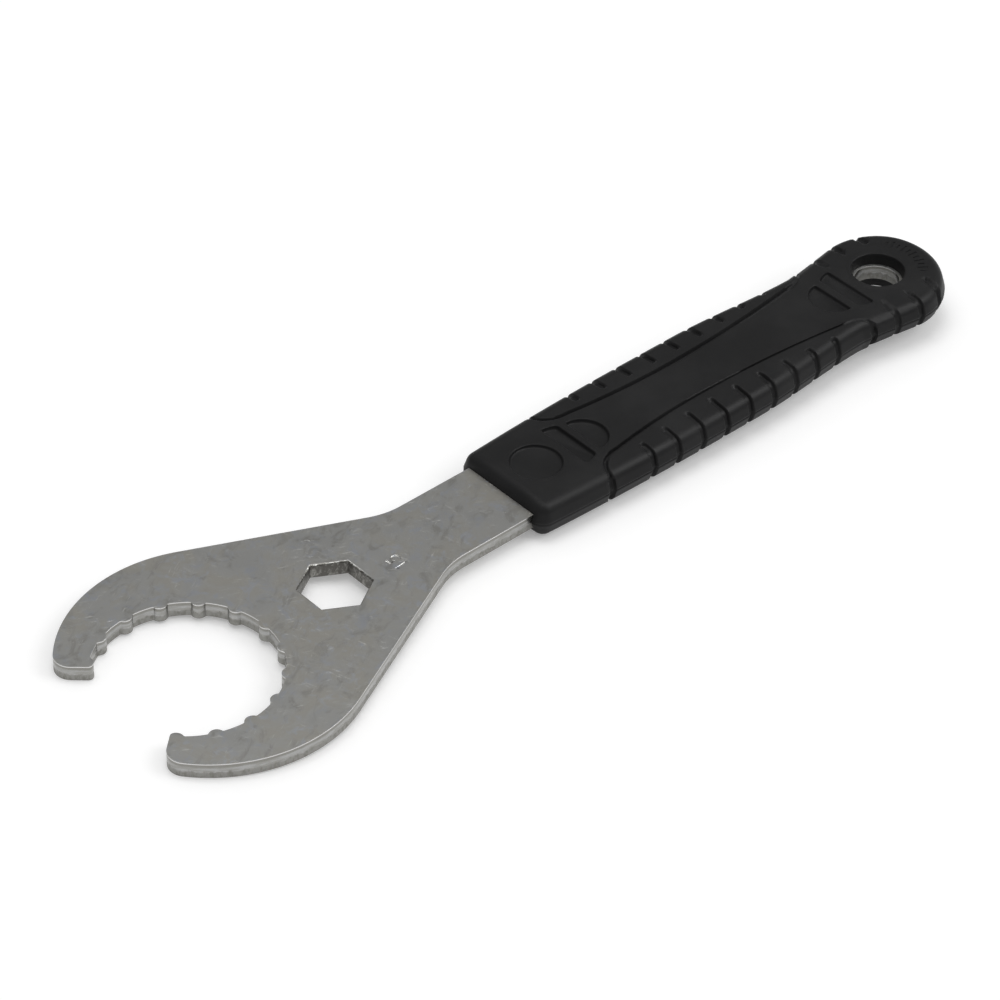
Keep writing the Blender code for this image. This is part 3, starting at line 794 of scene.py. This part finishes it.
@dataclass
class MouldedGrip:
    """The black moulding over the tang, with its leaf panels, finger grooves and recesses."""

    front_x: float = 93.648 * MM
    hang_x: float = 222.848 * MM
    half_thickness: float = 5.088 * MM
    crown_drop: float = 1.3 * MM
    flat_half: float = 5.0 * MM
    front_half: float = 14.8 * MM
    belly_half: float = 16.6 * MM
    waist_half: float = 14.3 * MM
    head_radius: float = 17.0 * MM
    head_lead: float = 0.7 * MM
    belly_start: float = 56.8 * MM
    belly_length: float = 15.0 * MM
    waist_reach: float = 19.0 * MM
    draft: float = 17.0
    shoulder: float = 3.0 * MM
    hole_radius: float = 6.8 * MM
    hole_taper: float = 0.6 * MM
    hole_rim: float = 0.35 * MM
    leaf_start: float = 116.048 * MM
    leaf_end: float = 207.048 * MM
    leaf_waist: float = 154.048 * MM
    leaf_half_gap: float = 6.6 * MM
    leaf_front_gap: float = 10.0 * MM
    leaf_rear_gap: float = 10.8 * MM
    leaf_corner: float = 7.5 * MM
    leaf_fullness: float = 0.65
    leaf_groove: float = 0.85 * MM
    leaf_groove_floor: float = 0.29 * MM
    leaf_groove_half: float = 0.62 * MM
    leaf_swell: float = 0.42 * MM
    swell_deepening: float = 0.4
    side_fall: Point = (0.2 * MM, 1.6 * MM)
    panel_sink: float = 0.55 * MM
    panel_rise: Point = (118.0 * MM, 200.0 * MM)
    panel_fall: Point = (206.0 * MM, 227.0 * MM)
    panel_edge: float = 0.7 * MM
    finger_first: float = 13.3 * MM
    finger_pitch: float = 8.1 * MM
    finger_count: int = 9
    finger_setback: float = 3.8 * MM
    finger_depth: float = 0.82 * MM
    finger_floor: float = 0.64 * MM
    finger_half: float = 1.05 * MM
    head_grooves: tuple[float, ...] = (-8.3 * MM, -0.9 * MM, 6.5 * MM)
    head_groove_reach: float = 5.3 * MM
    parting_depth: float = 0.24 * MM
    parting_band: Point = (0.06 * MM, 0.34 * MM)
    pocket_fit: float = 0.03 * MM
    disc_reach: float = 11.7 * MM
    disc_radius: float = 6.4 * MM
    disc_bar_gap: float = 2.5 * MM
    hole_bar_gap: float = 3.1 * MM
    bar_radius: float = 8.0 * MM
    bar_width: float = 4.2 * MM
    moon_gap: float = 2.2 * MM
    moon_radius: float = 6.2 * MM
    recess_lift: float = 0.01 * MM
    mark_count: int = 15
    mark_first: float = 62.0
    mark_pitch: float = 7.5
    mark_radius: float = 11.6 * MM
    mark_length: float = 2.8 * MM
    mark_short: float = 0.6
    mark_width: float = 0.45 * MM
    mark_depth: float = 0.14 * MM
    cell: float = 0.55 * MM
    border_rows: tuple[float, ...] = (
        1.9, 1.3, 0.95, 0.74, 0.61, 0.47, 0.3, 0.0, -0.3, -0.47, -0.61, -0.74, -1.0)
    groove_steps: tuple[float, ...] = (0.3, 0.66, 0.8, 0.93, 1.05, 1.2)
    leaf_steps: tuple[float, ...] = (
        -0.95, -0.8, -0.6, -0.42, -0.2, 0.0, 0.2, 0.42, 0.6, 0.8, 1.0, 1.25, 1.6, 2.0, 2.5)
    inner_rows: int = 6
    outer_rows: int = 12
    corner_columns: int = 9
    border_margin: float = 0.95 * MM
    border_room: Point = (3.2 * MM, 1.0 * MM)
    spine_lead: float = 34.0 * MM
    spine_turn: float = 135.0
    heading_span: float = 0.3 * MM
    shoulder_rings: int = 8
    hole_rim_rows: int = 4
    hole_rows: int = 12
    crease: float = 58.0
    wall_rises: tuple[float, ...] = (0.86, 0.72, 0.58, 0.44, 0.30, 0.18, 0.09, 0.035, 0.0)

    def __post_init__(self) -> None:
        """Works out what follows from the sizes."""
        self.rows = self.inner_rows + len(self.border_rows) - 1 + self.outer_rows
        self.head_x = self.hang_x + self.head_lead
        self.waist_x = self.hang_x - self.waist_reach
        disc_x = self.front_x + self.disc_reach
        front = disc_x + self.disc_radius + self.disc_bar_gap
        rear = self.hang_x - self.hole_radius - self.hole_bar_gap
        step = self.bar_width + self.moon_gap
        bar, moon = self.bar_radius, self.moon_radius
        self.recesses = [
            Recess("disc", disc_x, self.disc_radius, 0.85 * MM),
            Recess("front_bar", front, bar, 1.15 * MM, 0.0, self.bar_width),
            Recess("front_moon", front + step, moon, 1.05 * MM, 0.0),
            Recess("head_bar", rear, bar, 0.95 * MM, 0.0, self.bar_width, -1),
            Recess("head_moon", rear - step, moon, 1.05 * MM, 0.0, facing=-1),
        ]

    def flank_end(self) -> float:
        """Returns the angle round the head's centre at which the flank touches the head."""
        waist = (self.waist_x, self.waist_half)
        centre = (self.head_x, 0.0)
        spread = math.degrees(math.acos(self.head_radius / math.dist(waist, centre)))
        return angle_of(waist, centre) - spread

    def half_width(self, x: float) -> float:
        """Returns half of the grip's width at the parting line."""
        belly = self.front_x + self.belly_start
        if x < belly:
            share = (belly - x) / self.belly_start
            return self.belly_half - (self.belly_half - self.front_half) * share ** 2
        if x < self.waist_x:
            share = float(smooth(belly + self.belly_length, self.waist_x, x))
            return self.belly_half + (self.waist_half - self.belly_half) * share
        touch = polar(self.head_radius, self.flank_end())
        if x < self.head_x + touch[0]:
            share = (x - self.waist_x) / (self.head_x + touch[0] - self.waist_x)
            return self.waist_half + (touch[1] - self.waist_half) * share
        away = min(x - self.head_x, self.head_radius)
        return math.sqrt(self.head_radius ** 2 - away ** 2)

    def crown(self, y: np.ndarray) -> np.ndarray:
        """Returns the height of the face above the parting line: flat in the middle, then falling."""
        away = np.maximum(np.abs(y) - self.flat_half, 0.0) / (self.belly_half - self.flat_half)
        return self.half_thickness - self.crown_drop * away ** 2

    def inset(self, height: float) -> float:
        """Returns how far in from the parting line the face's edge lies."""
        draft = math.radians(self.draft)
        return (height - self.shoulder) * math.tan(draft) + self.shoulder / math.cos(draft)

    def face_edge(self, x: float, y: float, out: Point) -> tuple[float, float, float]:
        """Finds the face's edge inside a point of the parting line.

        Args:
            x: The point's place along the grip.
            y: The point's distance from the axis.
            out: The outward direction there.

        Returns:
            The place of the face's edge.
        """
        height = self.half_thickness
        for _ in range(4):
            height = float(self.crown(y - out[1] * self.inset(height)))
        depth = self.inset(height)
        return x - out[0] * depth, y - out[1] * depth, height

    def front_corner(self) -> tuple[float, float, float, float]:
        """Returns the face's front corner, its height and the angle at which the side starts."""
        lean = 90.0 + math.degrees(2.0 * (self.belly_half - self.front_half) / self.belly_start)
        height = self.half_thickness
        for _ in range(6):
            radius = self.inset(height)
            side = polar(radius, lean, (self.front_x + radius, 0.0))
            y = self.half_width(side[0]) - side[1]
            height = float(self.crown(y))
        return self.front_x + radius, y, height, lean

    def side_line(self) -> tuple[np.ndarray, np.ndarray]:
        """Returns close points along the parting line from the corner to the end of the head."""
        x, y, height, lean = self.front_corner()
        start = polar(self.inset(height), lean, (x, y))
        touch = self.head_x + polar(self.head_radius, self.flank_end())[0]
        along = np.linspace(start[0], touch, 4000)
        side = [(place, self.half_width(place)) for place in along]
        side += arc((self.head_x, 0.0), self.head_radius, self.flank_end(), 0.0, 1200)[1:]
        points = np.array(side)
        steps = np.hypot(*np.diff(points, axis=0).T)
        return points, np.concatenate([[0.0], np.cumsum(steps)])

    def finger_places(self) -> list[float]:
        """Returns where the finger grooves cross the grip."""
        return [self.leaf_start + self.finger_first + number * self.finger_pitch
                for number in range(self.finger_count)]

    def stations(self) -> list[tuple[float, float, Point]]:
        """Spaces the columns of the skin along the parting line, with one in each groove.

        Returns:
            Each column's place on the parting line and the outward direction there.
        """
        points, reach = self.side_line()
        centres = self.finger_places() + [self.hang_x + offset for offset in self.head_grooves]
        groove = [side * step for step in self.groove_steps for side in (-1.0, 1.0)]
        steps = [(place, groove) for place in centres]
        steps.append((self.leaf_start, self.leaf_steps))
        steps.append((self.leaf_end, [-step for step in self.leaf_steps]))
        marks = [place + step * MM for place, offsets in steps for step in offsets]
        marks.append(self.hang_x - self.spine_lead)
        keys = sorted({0.0, *np.interp(marks, points[:, 0], reach).tolist(), reach[-1]})
        places = [0.0]
        for start, end in zip(keys, keys[1:]):
            count = max(1, round((end - start) / self.cell))
            places += [start + (end - start) * step / count for step in range(1, count + 1)]
        found = []
        for place in places:
            x, y = (float(np.interp(place, reach, points[:, axis])) for axis in (0, 1))
            low, high = max(place - self.heading_span, 0.0), min(place + self.heading_span, reach[-1])
            run = [float(np.diff(np.interp((low, high), reach, points[:, axis]))[0]) for axis in (0, 1)]
            size = math.hypot(*run)
            out = (-run[1] / size, run[0] / size)
            found.append((x, y, out if place < reach[-1] else (1.0, 0.0)))
        return found

    def spine_point(self, x: float, y: float) -> Point:
        """Finds the inner end of a column: on the spine, or on the rim of the hang hole.

        Args:
            x: The column's place on the face's edge.
            y: Its distance from the axis there.

        Returns:
            The column's inner end.
        """
        rim = self.hole_radius + self.hole_rim
        turn = angle_of((x, y), (self.hang_x, 0.0))
        if turn < self.spine_turn:
            return polar(rim, turn * 180.0 / self.spine_turn, (self.hang_x, 0.0))
        start = self.hang_x - self.spine_lead
        end = self.hang_x - y
        if x < start:
            return x, 0.0
        return start + (x - start) * (self.hang_x - rim - start) / (end - start), 0.0

    def row_shares(self, start: Point, end: Sequence[float]) -> list[float]:
        """Spaces the points of a column so that some follow the leaf's border.

        Args:
            start: The column's inner end.
            end: Its outer end, on the face's edge.

        Returns:
            The share of the way from the inner end for each row.
        """
        length = math.dist(start, end[:2])
        line = self.leaf_line()
        share = np.linspace(0.0, 1.0, 400)
        x = start[0] + (end[0] - start[0]) * share
        y = start[1] + (end[1] - start[1]) * share
        inside = (x > self.leaf_start) & (x < self.leaf_end)
        border = np.where(inside, np.interp(x, line[:, 0], line[:, 1]), 1.0)
        beyond = np.flatnonzero(y > border)
        crossing = 1.0
        if len(beyond) and beyond[0] > 0:
            last = beyond[0] - 1
            low, high = y[last] - border[last], y[last + 1] - border[last + 1]
            crossing = share[last] + (share[last + 1] - share[last]) * low / (low - high)
        crossing = max(0.4, min(crossing, 1.0 - self.border_margin / length))
        inward = min(1.0, crossing * length / self.border_room[0])
        outward = min(1.0, (1.0 - crossing) * length / self.border_room[1])
        near = [crossing - row * MM * (inward if row > 0 else outward) / length for row in self.border_rows]
        inner = [near[0] * step / self.inner_rows for step in range(self.inner_rows)]
        outer = [near[-1] + (1.0 - near[-1]) * step / self.outer_rows
                 for step in range(1, self.outer_rows + 1)]
        return inner + near + outer

    def grid(self, shape: bmesh.types.BMesh, columns: int, rows: int,
             place: Callable[[int, int], Iterable[float]]) -> None:
        """Adds a grid to a mesh and puts each of its points in place.

        Args:
            shape: The mesh that it joins.
            columns: How many cells it has one way.
            rows: How many cells it has the other way.
            place: Gives the place of the point in a column and a row.
        """
        made = bmesh.ops.create_grid(shape, x_segments=columns, y_segments=rows, size=0.5)
        for vertex in made["verts"]:
            column = round((vertex.co.x + 0.5) * columns)
            row = round((vertex.co.y + 0.5) * rows)
            vertex.co = place(column, row)

    def skin(self) -> bmesh.types.BMesh:
        """Makes a quarter of the skin from three grids and mirrors it twice.

        Returns:
            The closed skin, with a hole through its head, before its relief.
        """
        stations = self.stations()
        edges = [self.face_edge(x, y, out) for x, y, out in stations]
        corner_x, corner_y, corner_z, lean = self.front_corner()
        edges[0] = (corner_x, corner_y, corner_z)
        spine = [self.spine_point(x, y) for x, y, _ in edges]
        spine[0] = (self.front_x + self.inset(self.half_thickness), 0.0)
        rim_radius = self.hole_radius + self.hole_rim
        rim_start = next(index for index, point in enumerate(spine)
                         if math.dist(point, (self.hang_x, 0.0)) < rim_radius * 1.0001) - 1
        spine[rim_start] = (self.hang_x - rim_radius, 0.0)
        shares = [self.row_shares(start, end) for start, end in zip(spine, edges)]

        def face(column: int, row: int) -> tuple[float, float, float]:
            """Places a point of the face, between the spine and the face's edge."""
            share = shares[column][row]
            x = spine[column][0] + (edges[column][0] - spine[column][0]) * share
            y = spine[column][1] + (edges[column][1] - spine[column][1]) * share
            height = float(self.crown(y))
            if column == 0:
                x = self.front_x + self.inset(height)
            if row == self.rows:
                x, y, height = edges[column]
            return x, y, height

        corner_steps = self.corner_columns + 1
        turns = [180.0 + (lean - 180.0) * step / corner_steps for step in range(corner_steps)]
        columns = [(face(0, row), (-1.0, 0.0)) for row in range(self.rows)]
        columns += [(edges[0], polar(1.0, turn)) for turn in (*turns, lean)]
        columns += [(edge, out) for edge, (_, _, out) in zip(edges[1:], stations[1:])]
        draft = math.radians(self.draft)
        rings = self.shoulder_rings + len(self.wall_rises)

        def side(column: int, row: int) -> tuple[float, float, float]:
            """Places a point of the shoulder or the side, from the face's edge down."""
            (x, y, height), out = columns[column]
            foot = height - self.shoulder * (1.0 - math.sin(draft))
            if row <= self.shoulder_rings:
                turn = math.pi / 2 - (math.pi / 2 - draft) * row / self.shoulder_rings
                reach = self.shoulder * math.cos(turn)
                z = height - self.shoulder * (1.0 - math.sin(turn))
            else:
                z = foot * self.wall_rises[row - self.shoulder_rings - 1]
                reach = self.shoulder * math.cos(draft) + (foot - z) * math.tan(draft)
            return x + out[0] * reach, max(y + out[1] * reach, 0.0), z

        rim = spine[rim_start:]

        def hole(column: int, row: int) -> tuple[float, float, float]:
            """Places a point of the hang hole's wall, from the rounded rim down."""
            x, y = rim[column]
            height = float(self.crown(y))
            if row <= self.hole_rim_rows:
                turn = math.pi / 2 * row / self.hole_rim_rows
                radius = self.hole_radius + self.hole_rim * (1.0 - math.sin(turn))
                z = height - self.hole_rim * (1.0 - math.cos(turn))
            else:
                share = (row - self.hole_rim_rows) / (self.hole_rows - self.hole_rim_rows)
                radius = self.hole_radius - self.hole_taper * share
                z = (height - self.hole_rim) * (1.0 - share)
            size = math.hypot(x - self.hang_x, y)
            return self.hang_x + (x - self.hang_x) / size * radius, y / size * radius, z

        shape = bmesh.new()
        self.grid(shape, len(edges) - 1, self.rows, face)
        self.grid(shape, len(columns) - 1, rings, side)
        self.grid(shape, len(rim) - 1, self.hole_rows, hole)
        bmesh.ops.remove_doubles(shape, verts=shape.verts, dist=2e-6)
        for axis in ("Y", "Z"):
            everything = shape.verts[:] + shape.edges[:] + shape.faces[:]
            bmesh.ops.mirror(shape, geom=everything, axis=axis, merge_dist=2e-6)
        bmesh.ops.recalc_face_normals(shape, faces=shape.faces)
        return shape

    def leaf_gap(self, x: float) -> float:
        """Returns the distance from the axis to a leaf's inner edge."""
        end, gap = (self.leaf_start, self.leaf_front_gap)
        if x >= self.leaf_waist:
            end, gap = (self.leaf_end, self.leaf_rear_gap)
        share = (x - self.leaf_waist) / (end - self.leaf_waist)
        return self.leaf_half_gap + (gap - self.leaf_half_gap) * share ** 2

    def leaf_line(self) -> np.ndarray:
        """Returns the leaf's border in plan, from the side over its inner edge to the side."""
        ends = []
        for side_x, inner_x in ((self.leaf_start, self.leaf_start + self.leaf_corner),
                                (self.leaf_end, self.leaf_end - self.leaf_corner)):
            wide, gap = self.half_width(side_x), self.leaf_gap(inner_x)
            full = self.leaf_fullness
            handles = [(side_x, wide), (side_x, wide + (gap - wide) * full),
                       (inner_x + (side_x - inner_x) * full, gap), (inner_x, gap)]
            share = np.linspace(0.0, 1.0, 40)[:, None]
            left = 1 - share
            weights = (left ** 3, 3 * share * left ** 2, 3 * share ** 2 * left, share ** 3)
            ends.append(sum(weight * np.array(handle) for weight, handle in zip(weights, handles)))
        along = np.linspace(ends[0][-1][0], ends[1][-1][0], 90)[1:-1]
        inner = np.array([(x, self.leaf_gap(x)) for x in along])
        beyond = [(self.leaf_start, self.half_width(self.leaf_start) + MM)]
        after = [(self.leaf_end, self.half_width(self.leaf_end) + MM)]
        return np.vstack([beyond, ends[0], inner, ends[1][::-1], after])

    def leaf_distance(self, x: np.ndarray, y: np.ndarray) -> np.ndarray:
        """Returns each point's distance from the leaf's border, negative inside the leaf."""
        line = self.leaf_line()
        start, end = line[:-1], line[1:]
        run = end - start
        size = (run ** 2).sum(1)
        best = np.full(len(x), 1.0)
        for (ax, ay), (rx, ry), whole in zip(start, run, size):
            share = np.clip(((x - ax) * rx + (y - ay) * ry) / max(whole, 1e-18), 0.0, 1.0)
            best = np.minimum(best, np.hypot(x - ax - share * rx, y - ay - share * ry))
        border = np.interp(x, line[:, 0], line[:, 1])
        inside = (x > self.leaf_start) & (x < self.leaf_end) & (y > border)
        return np.where(inside, -best, best)

    def groove_distance(self, x: np.ndarray, y: np.ndarray) -> np.ndarray:
        """Returns each point's distance from the nearest finger groove's centre line."""
        best = np.full(len(x), 1.0)
        grooves = [(place, self.leaf_gap(place) + self.finger_setback) for place in self.finger_places()]
        for offset in self.head_grooves:
            place = self.hang_x + offset
            grooves.append((place, self.half_width(place) - self.head_groove_reach))
        for place, inner in grooves:
            best = np.minimum(best, np.hypot(x - place, np.maximum(inner - y, 0.0)))
        return best

    def panel_depth(self, x: np.ndarray) -> np.ndarray:
        """Returns how deep the panel between the leaves lies at each place along the grip."""
        return self.panel_sink * smooth(*self.panel_rise, x) * (1.0 - smooth(*self.panel_fall, x))

    def relief(self, place: np.ndarray) -> np.ndarray:
        """Works out how deep the relief is at each point of the skin.

        Args:
            place: The places of the points.

        Returns:
            The depth below the skin.
        """
        x, y, z = place[:, 0], np.abs(place[:, 1]), np.abs(place[:, 2])
        border = self.leaf_distance(x, y)
        down = smooth(*self.side_fall, self.crown(y) - z)
        floor = self.leaf_groove_floor + self.leaf_swell * down
        wall = self.leaf_groove_half - self.leaf_groove_floor
        deep = self.leaf_groove + self.swell_deepening * self.leaf_swell * down
        groove = deep * (1.0 - smooth(0.0, wall, np.abs(border) - floor))
        finger = 1.0 - smooth(self.finger_floor, self.finger_half, self.groove_distance(x, y))
        depth = np.maximum(groove, self.finger_depth * finger)
        panel = self.panel_depth(x) * smooth(0.0, self.panel_edge, border) * (1.0 - 0.8 * down)
        depth = np.maximum(depth, np.where(border > 0.0, panel, 0.0))
        depth += self.parting_depth * (1.0 - smooth(*self.parting_band, z))
        in_hole = np.hypot(x - self.hang_x, y) < self.hole_radius + self.hole_rim * 1.2
        return np.where(in_hole, 0.0, depth)

    def carve(self, item: bpy.types.Object) -> None:
        """Sinks the relief into the skin along its own normals."""
        count = len(item.data.vertices)
        place = np.empty(count * 3)
        item.data.vertices.foreach_get("co", place)
        place = place.reshape(-1, 3)
        normal = np.empty(count * 3)
        item.data.vertex_normals.foreach_get("vector", normal)
        place -= normal.reshape(-1, 3) * self.relief(place)[:, None]
        item.data.vertices.foreach_set("co", place.ravel())
        item.data.update()

    def rim_marks(self) -> bpy.types.Object:
        """Makes the cutter for the row of plain radial strokes round the head."""
        shape = bmesh.new()
        for number in range(self.mark_count):
            turn = math.radians(self.mark_first - self.mark_pitch * number)
            placed = Matrix.Translation((self.hang_x, 0.0, self.half_thickness))
            placed @= Matrix.Rotation(turn, 4, "Z") @ Matrix.Translation((self.mark_radius, 0.0, 0.0))
            length = self.mark_length * (1.0 if number % 2 else self.mark_short)
            size = (length, self.mark_width, 2 * self.mark_depth)
            bmesh.ops.create_cube(shape, size=1.0, matrix=placed @ Matrix.Diagonal((*size, 1.0)))
        return object_of(shape, "rim_marks")

    def build(self, plate: SteelPlate, finishes: dict[Finish, bpy.types.Material]) -> bpy.types.Object:
        """Makes the grip.

        Args:
            plate: The plate whose tang it covers.
            finishes: The materials.

        Returns:
            The grip, in the tool's own frame.
        """
        grip = object_of(self.skin(), "black_grip")
        self.carve(grip)
        half = plate.tang(self.pocket_fit)
        half.append((self.front_x - plate.thickness, plate.shank_half + self.pocket_fit))
        outline = half + [(x, -y) for x, y in reversed(half[1:])]
        depth = plate.thickness / 2 + self.pocket_fit
        cut(grip, prism("tang_pocket", outline, -depth, depth))
        for recess in self.recesses:
            face = self.half_thickness - self.recess_lift - float(self.panel_depth(recess.x))
            for side in (1, -1):
                cut(grip, recess.cutter(face, side))
        cut(grip, self.rim_marks())
        grip.data.materials.clear()
        grip.data.materials.append(finishes[Finish.BLACK_MOULDING])
        grip.data.shade_smooth()
        grip.data.set_sharp_from_angle(angle=math.radians(self.crease))
        return grip


@dataclass(frozen=True)
class SoftBox:
    """A square lamp that faces the tool. Its azimuth runs from +X towards +Y."""

    name: str
    azimuth: float
    elevation: float
    size: float
    power: float
    distance: float = 1.2

    def hang(self) -> None:
        """Hangs the lamp."""
        data = bpy.data.lights.new(self.name, "AREA")
        data.shape = "SQUARE"
        data.size = self.size
        data.energy = self.power
        item = bpy.data.objects.new(self.name, data)
        bpy.context.scene.collection.objects.link(item)
        rise = math.radians(self.elevation)
        item.location = (*polar(self.distance * math.cos(rise), self.azimuth), self.distance * math.sin(rise))
        item.rotation_euler = Vector(item.location).to_track_quat("Z", "Y").to_euler()


@dataclass
class Studio:
    """The pale floor, the soft lamps, the plain background and the camera."""

    floor_size: float = 6.0
    floor_colour: float = 0.87
    floor_lift: float = 0.22
    panel_azimuth: float = -36.0
    panel_elevation: float = 48.0
    panel_spread: float = 22.0
    panel_core: float = 0.4
    panel_gain: float = 12.0
    soft_strength: float = 0.60
    grey_stops: tuple[Point, ...] = ((0.0, 0.30), (0.30, 0.34), (0.62, 0.36), (0.82, 0.44), (1.0, 1.0))
    boxes: tuple[SoftBox, ...] = (
        SoftBox("overhead_box", 100.0, 82.0, 0.7, 4.0),
        SoftBox("side_box", -47.0, 44.0, 0.6, 2.4),
    )
    target: tuple[float, float, float] = (-0.011589427, 0.003908464, 0.0)
    distance: float = 0.90945909
    elevation: float = 38.937148
    heading: float = -134.267683
    roll: float = 3.195891
    lens: float = 137.71638

    def floor(self) -> bpy.types.Object:
        """Lays the floor, which the camera and reflections see as near white."""
        shape = bmesh.new()
        bmesh.ops.create_grid(shape, x_segments=1, y_segments=1, size=self.floor_size / 2)
        item = object_of(shape, "floor")
        bench = Bench(bpy.data.materials.new("pale_floor"))
        bench.tree.nodes.clear()
        rays = bench.node("LightPath").outputs
        seen = bench.maths("MAXIMUM", rays["Is Camera Ray"], rays["Is Glossy Ray"])
        seen = bench.maths("MAXIMUM", seen, rays["Is Transmission Ray"])
        pale = bench.node("BsdfDiffuse", (*(self.floor_colour,) * 3, 1.0))
        glow = bench.node("Emission", WHITE, bench.maths("MULTIPLY", seen, self.floor_lift))
        both = bench.node("AddShader", pale.outputs[0], glow.outputs[0])
        bench.node("OutputMaterial", both.outputs[0])
        item.data.materials.append(bench.owner)
        return item

    def world(self) -> None:
        """Sets the soft light from all round, which reflections see as a grey studio."""
        bench = Bench(bpy.data.worlds.new("studio"))
        bpy.context.scene.world = bench.owner
        bench.tree.nodes.clear()
        rays = bench.node("LightPath").outputs
        way = bench.node("TexCoord").outputs["Generated"]
        greys = bench.node("ValToRGB", bench.node("SeparateXYZ", way).outputs["Z"])
        greys.color_ramp.interpolation = "EASE"
        for position, _ in self.grey_stops[1:-1]:
            greys.color_ramp.elements.new(position)
        for element, (position, level) in zip(greys.color_ramp.elements, self.grey_stops):
            element.position = position
            element.color = (level, level, level, 1.0)
        rise = math.radians(self.panel_elevation)
        facing = (*polar(math.cos(rise), self.panel_azimuth), math.sin(rise))
        toward = bench.node("VectorMath", way, facing, operation="DOT_PRODUCT").outputs["Value"]
        edge, core = (math.cos(math.radians(self.panel_spread * share)) for share in (1.0, self.panel_core))
        panel = bench.ramp(toward, edge, core, 1.0, self.panel_gain)
        glossy = bench.node("Background", greys.outputs["Color"], panel)
        soft = bench.node("Background", WHITE, self.soft_strength)
        reflect = bench.node("MixShader", rays["Is Glossy Ray"], soft.outputs[0], glossy.outputs[0])
        backdrop = bench.node("Background", WHITE, 1.0)
        direct = bench.node("MixShader", rays["Is Camera Ray"], reflect.outputs[0], backdrop.outputs[0])
        bench.node("OutputWorld", direct.outputs[0])

    def camera(self) -> None:
        """Sets the camera at the photograph's viewing angle."""
        data = bpy.data.cameras.new("camera")
        data.lens = self.lens
        data.sensor_width = 36.0
        data.clip_start = 0.01
        item = bpy.data.objects.new("camera", data)
        bpy.context.scene.collection.objects.link(item)
        level = polar(math.cos(math.radians(self.elevation)), self.heading)
        back = Vector((*level, math.sin(math.radians(self.elevation))))
        turn = back.to_track_quat("Z", "Y").to_matrix().to_4x4()
        roll = Matrix.Rotation(math.radians(self.roll), 4, "Z")
        item.matrix_world = Matrix.Translation(Vector(self.target) + back * self.distance) @ turn @ roll
        bpy.context.scene.camera = item

    def build(self) -> None:
        """Sets up the whole studio."""
        self.floor()
        self.world()
        for box in self.boxes:
            box.hang()
        self.camera()
        bpy.context.scene.view_settings.view_transform = "Standard"


def dress(item: bpy.types.Object, node: str) -> None:
    """Lays a piece down, and lets it stand for its solid.

    Args:
        item: The finished piece, in the tool's own frame.
        node: The name of the solid that it stands for.
    """
    REST.place(item)
    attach(item, "root")
    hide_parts(node)
    log.info("%s stands for %s with %d faces", item.name, node, len(item.data.polygons))


def main() -> None:
    """Builds the plate, the grip and the studio, and logs each piece's face count."""
    logging.basicConfig(level=logging.INFO, format="%(name)s: %(message)s")
    finishes = {
        Finish.SATIN_STEEL: SatinSteel().build(),
        Finish.PUNCHED_STEEL: PunchedSteel().build(),
        Finish.BROACHED_STEEL: BroachedSteel().build(),
        Finish.BLACK_MOULDING: BlackMoulding().build(),
    }
    plate_maker = SteelPlate()
    plate = plate_maker.build(finishes)
    cut(plate, SizeStamp("15", 60.6 * MM, -5.6 * MM).cutter(plate_maker.thickness / 2))
    dress(plate, "steel_plate")
    grip = MouldedGrip().build(plate_maker, finishes)
    dress(grip, "moulded_grip")
    Studio().build()


if __name__ == "__main__":
    main()
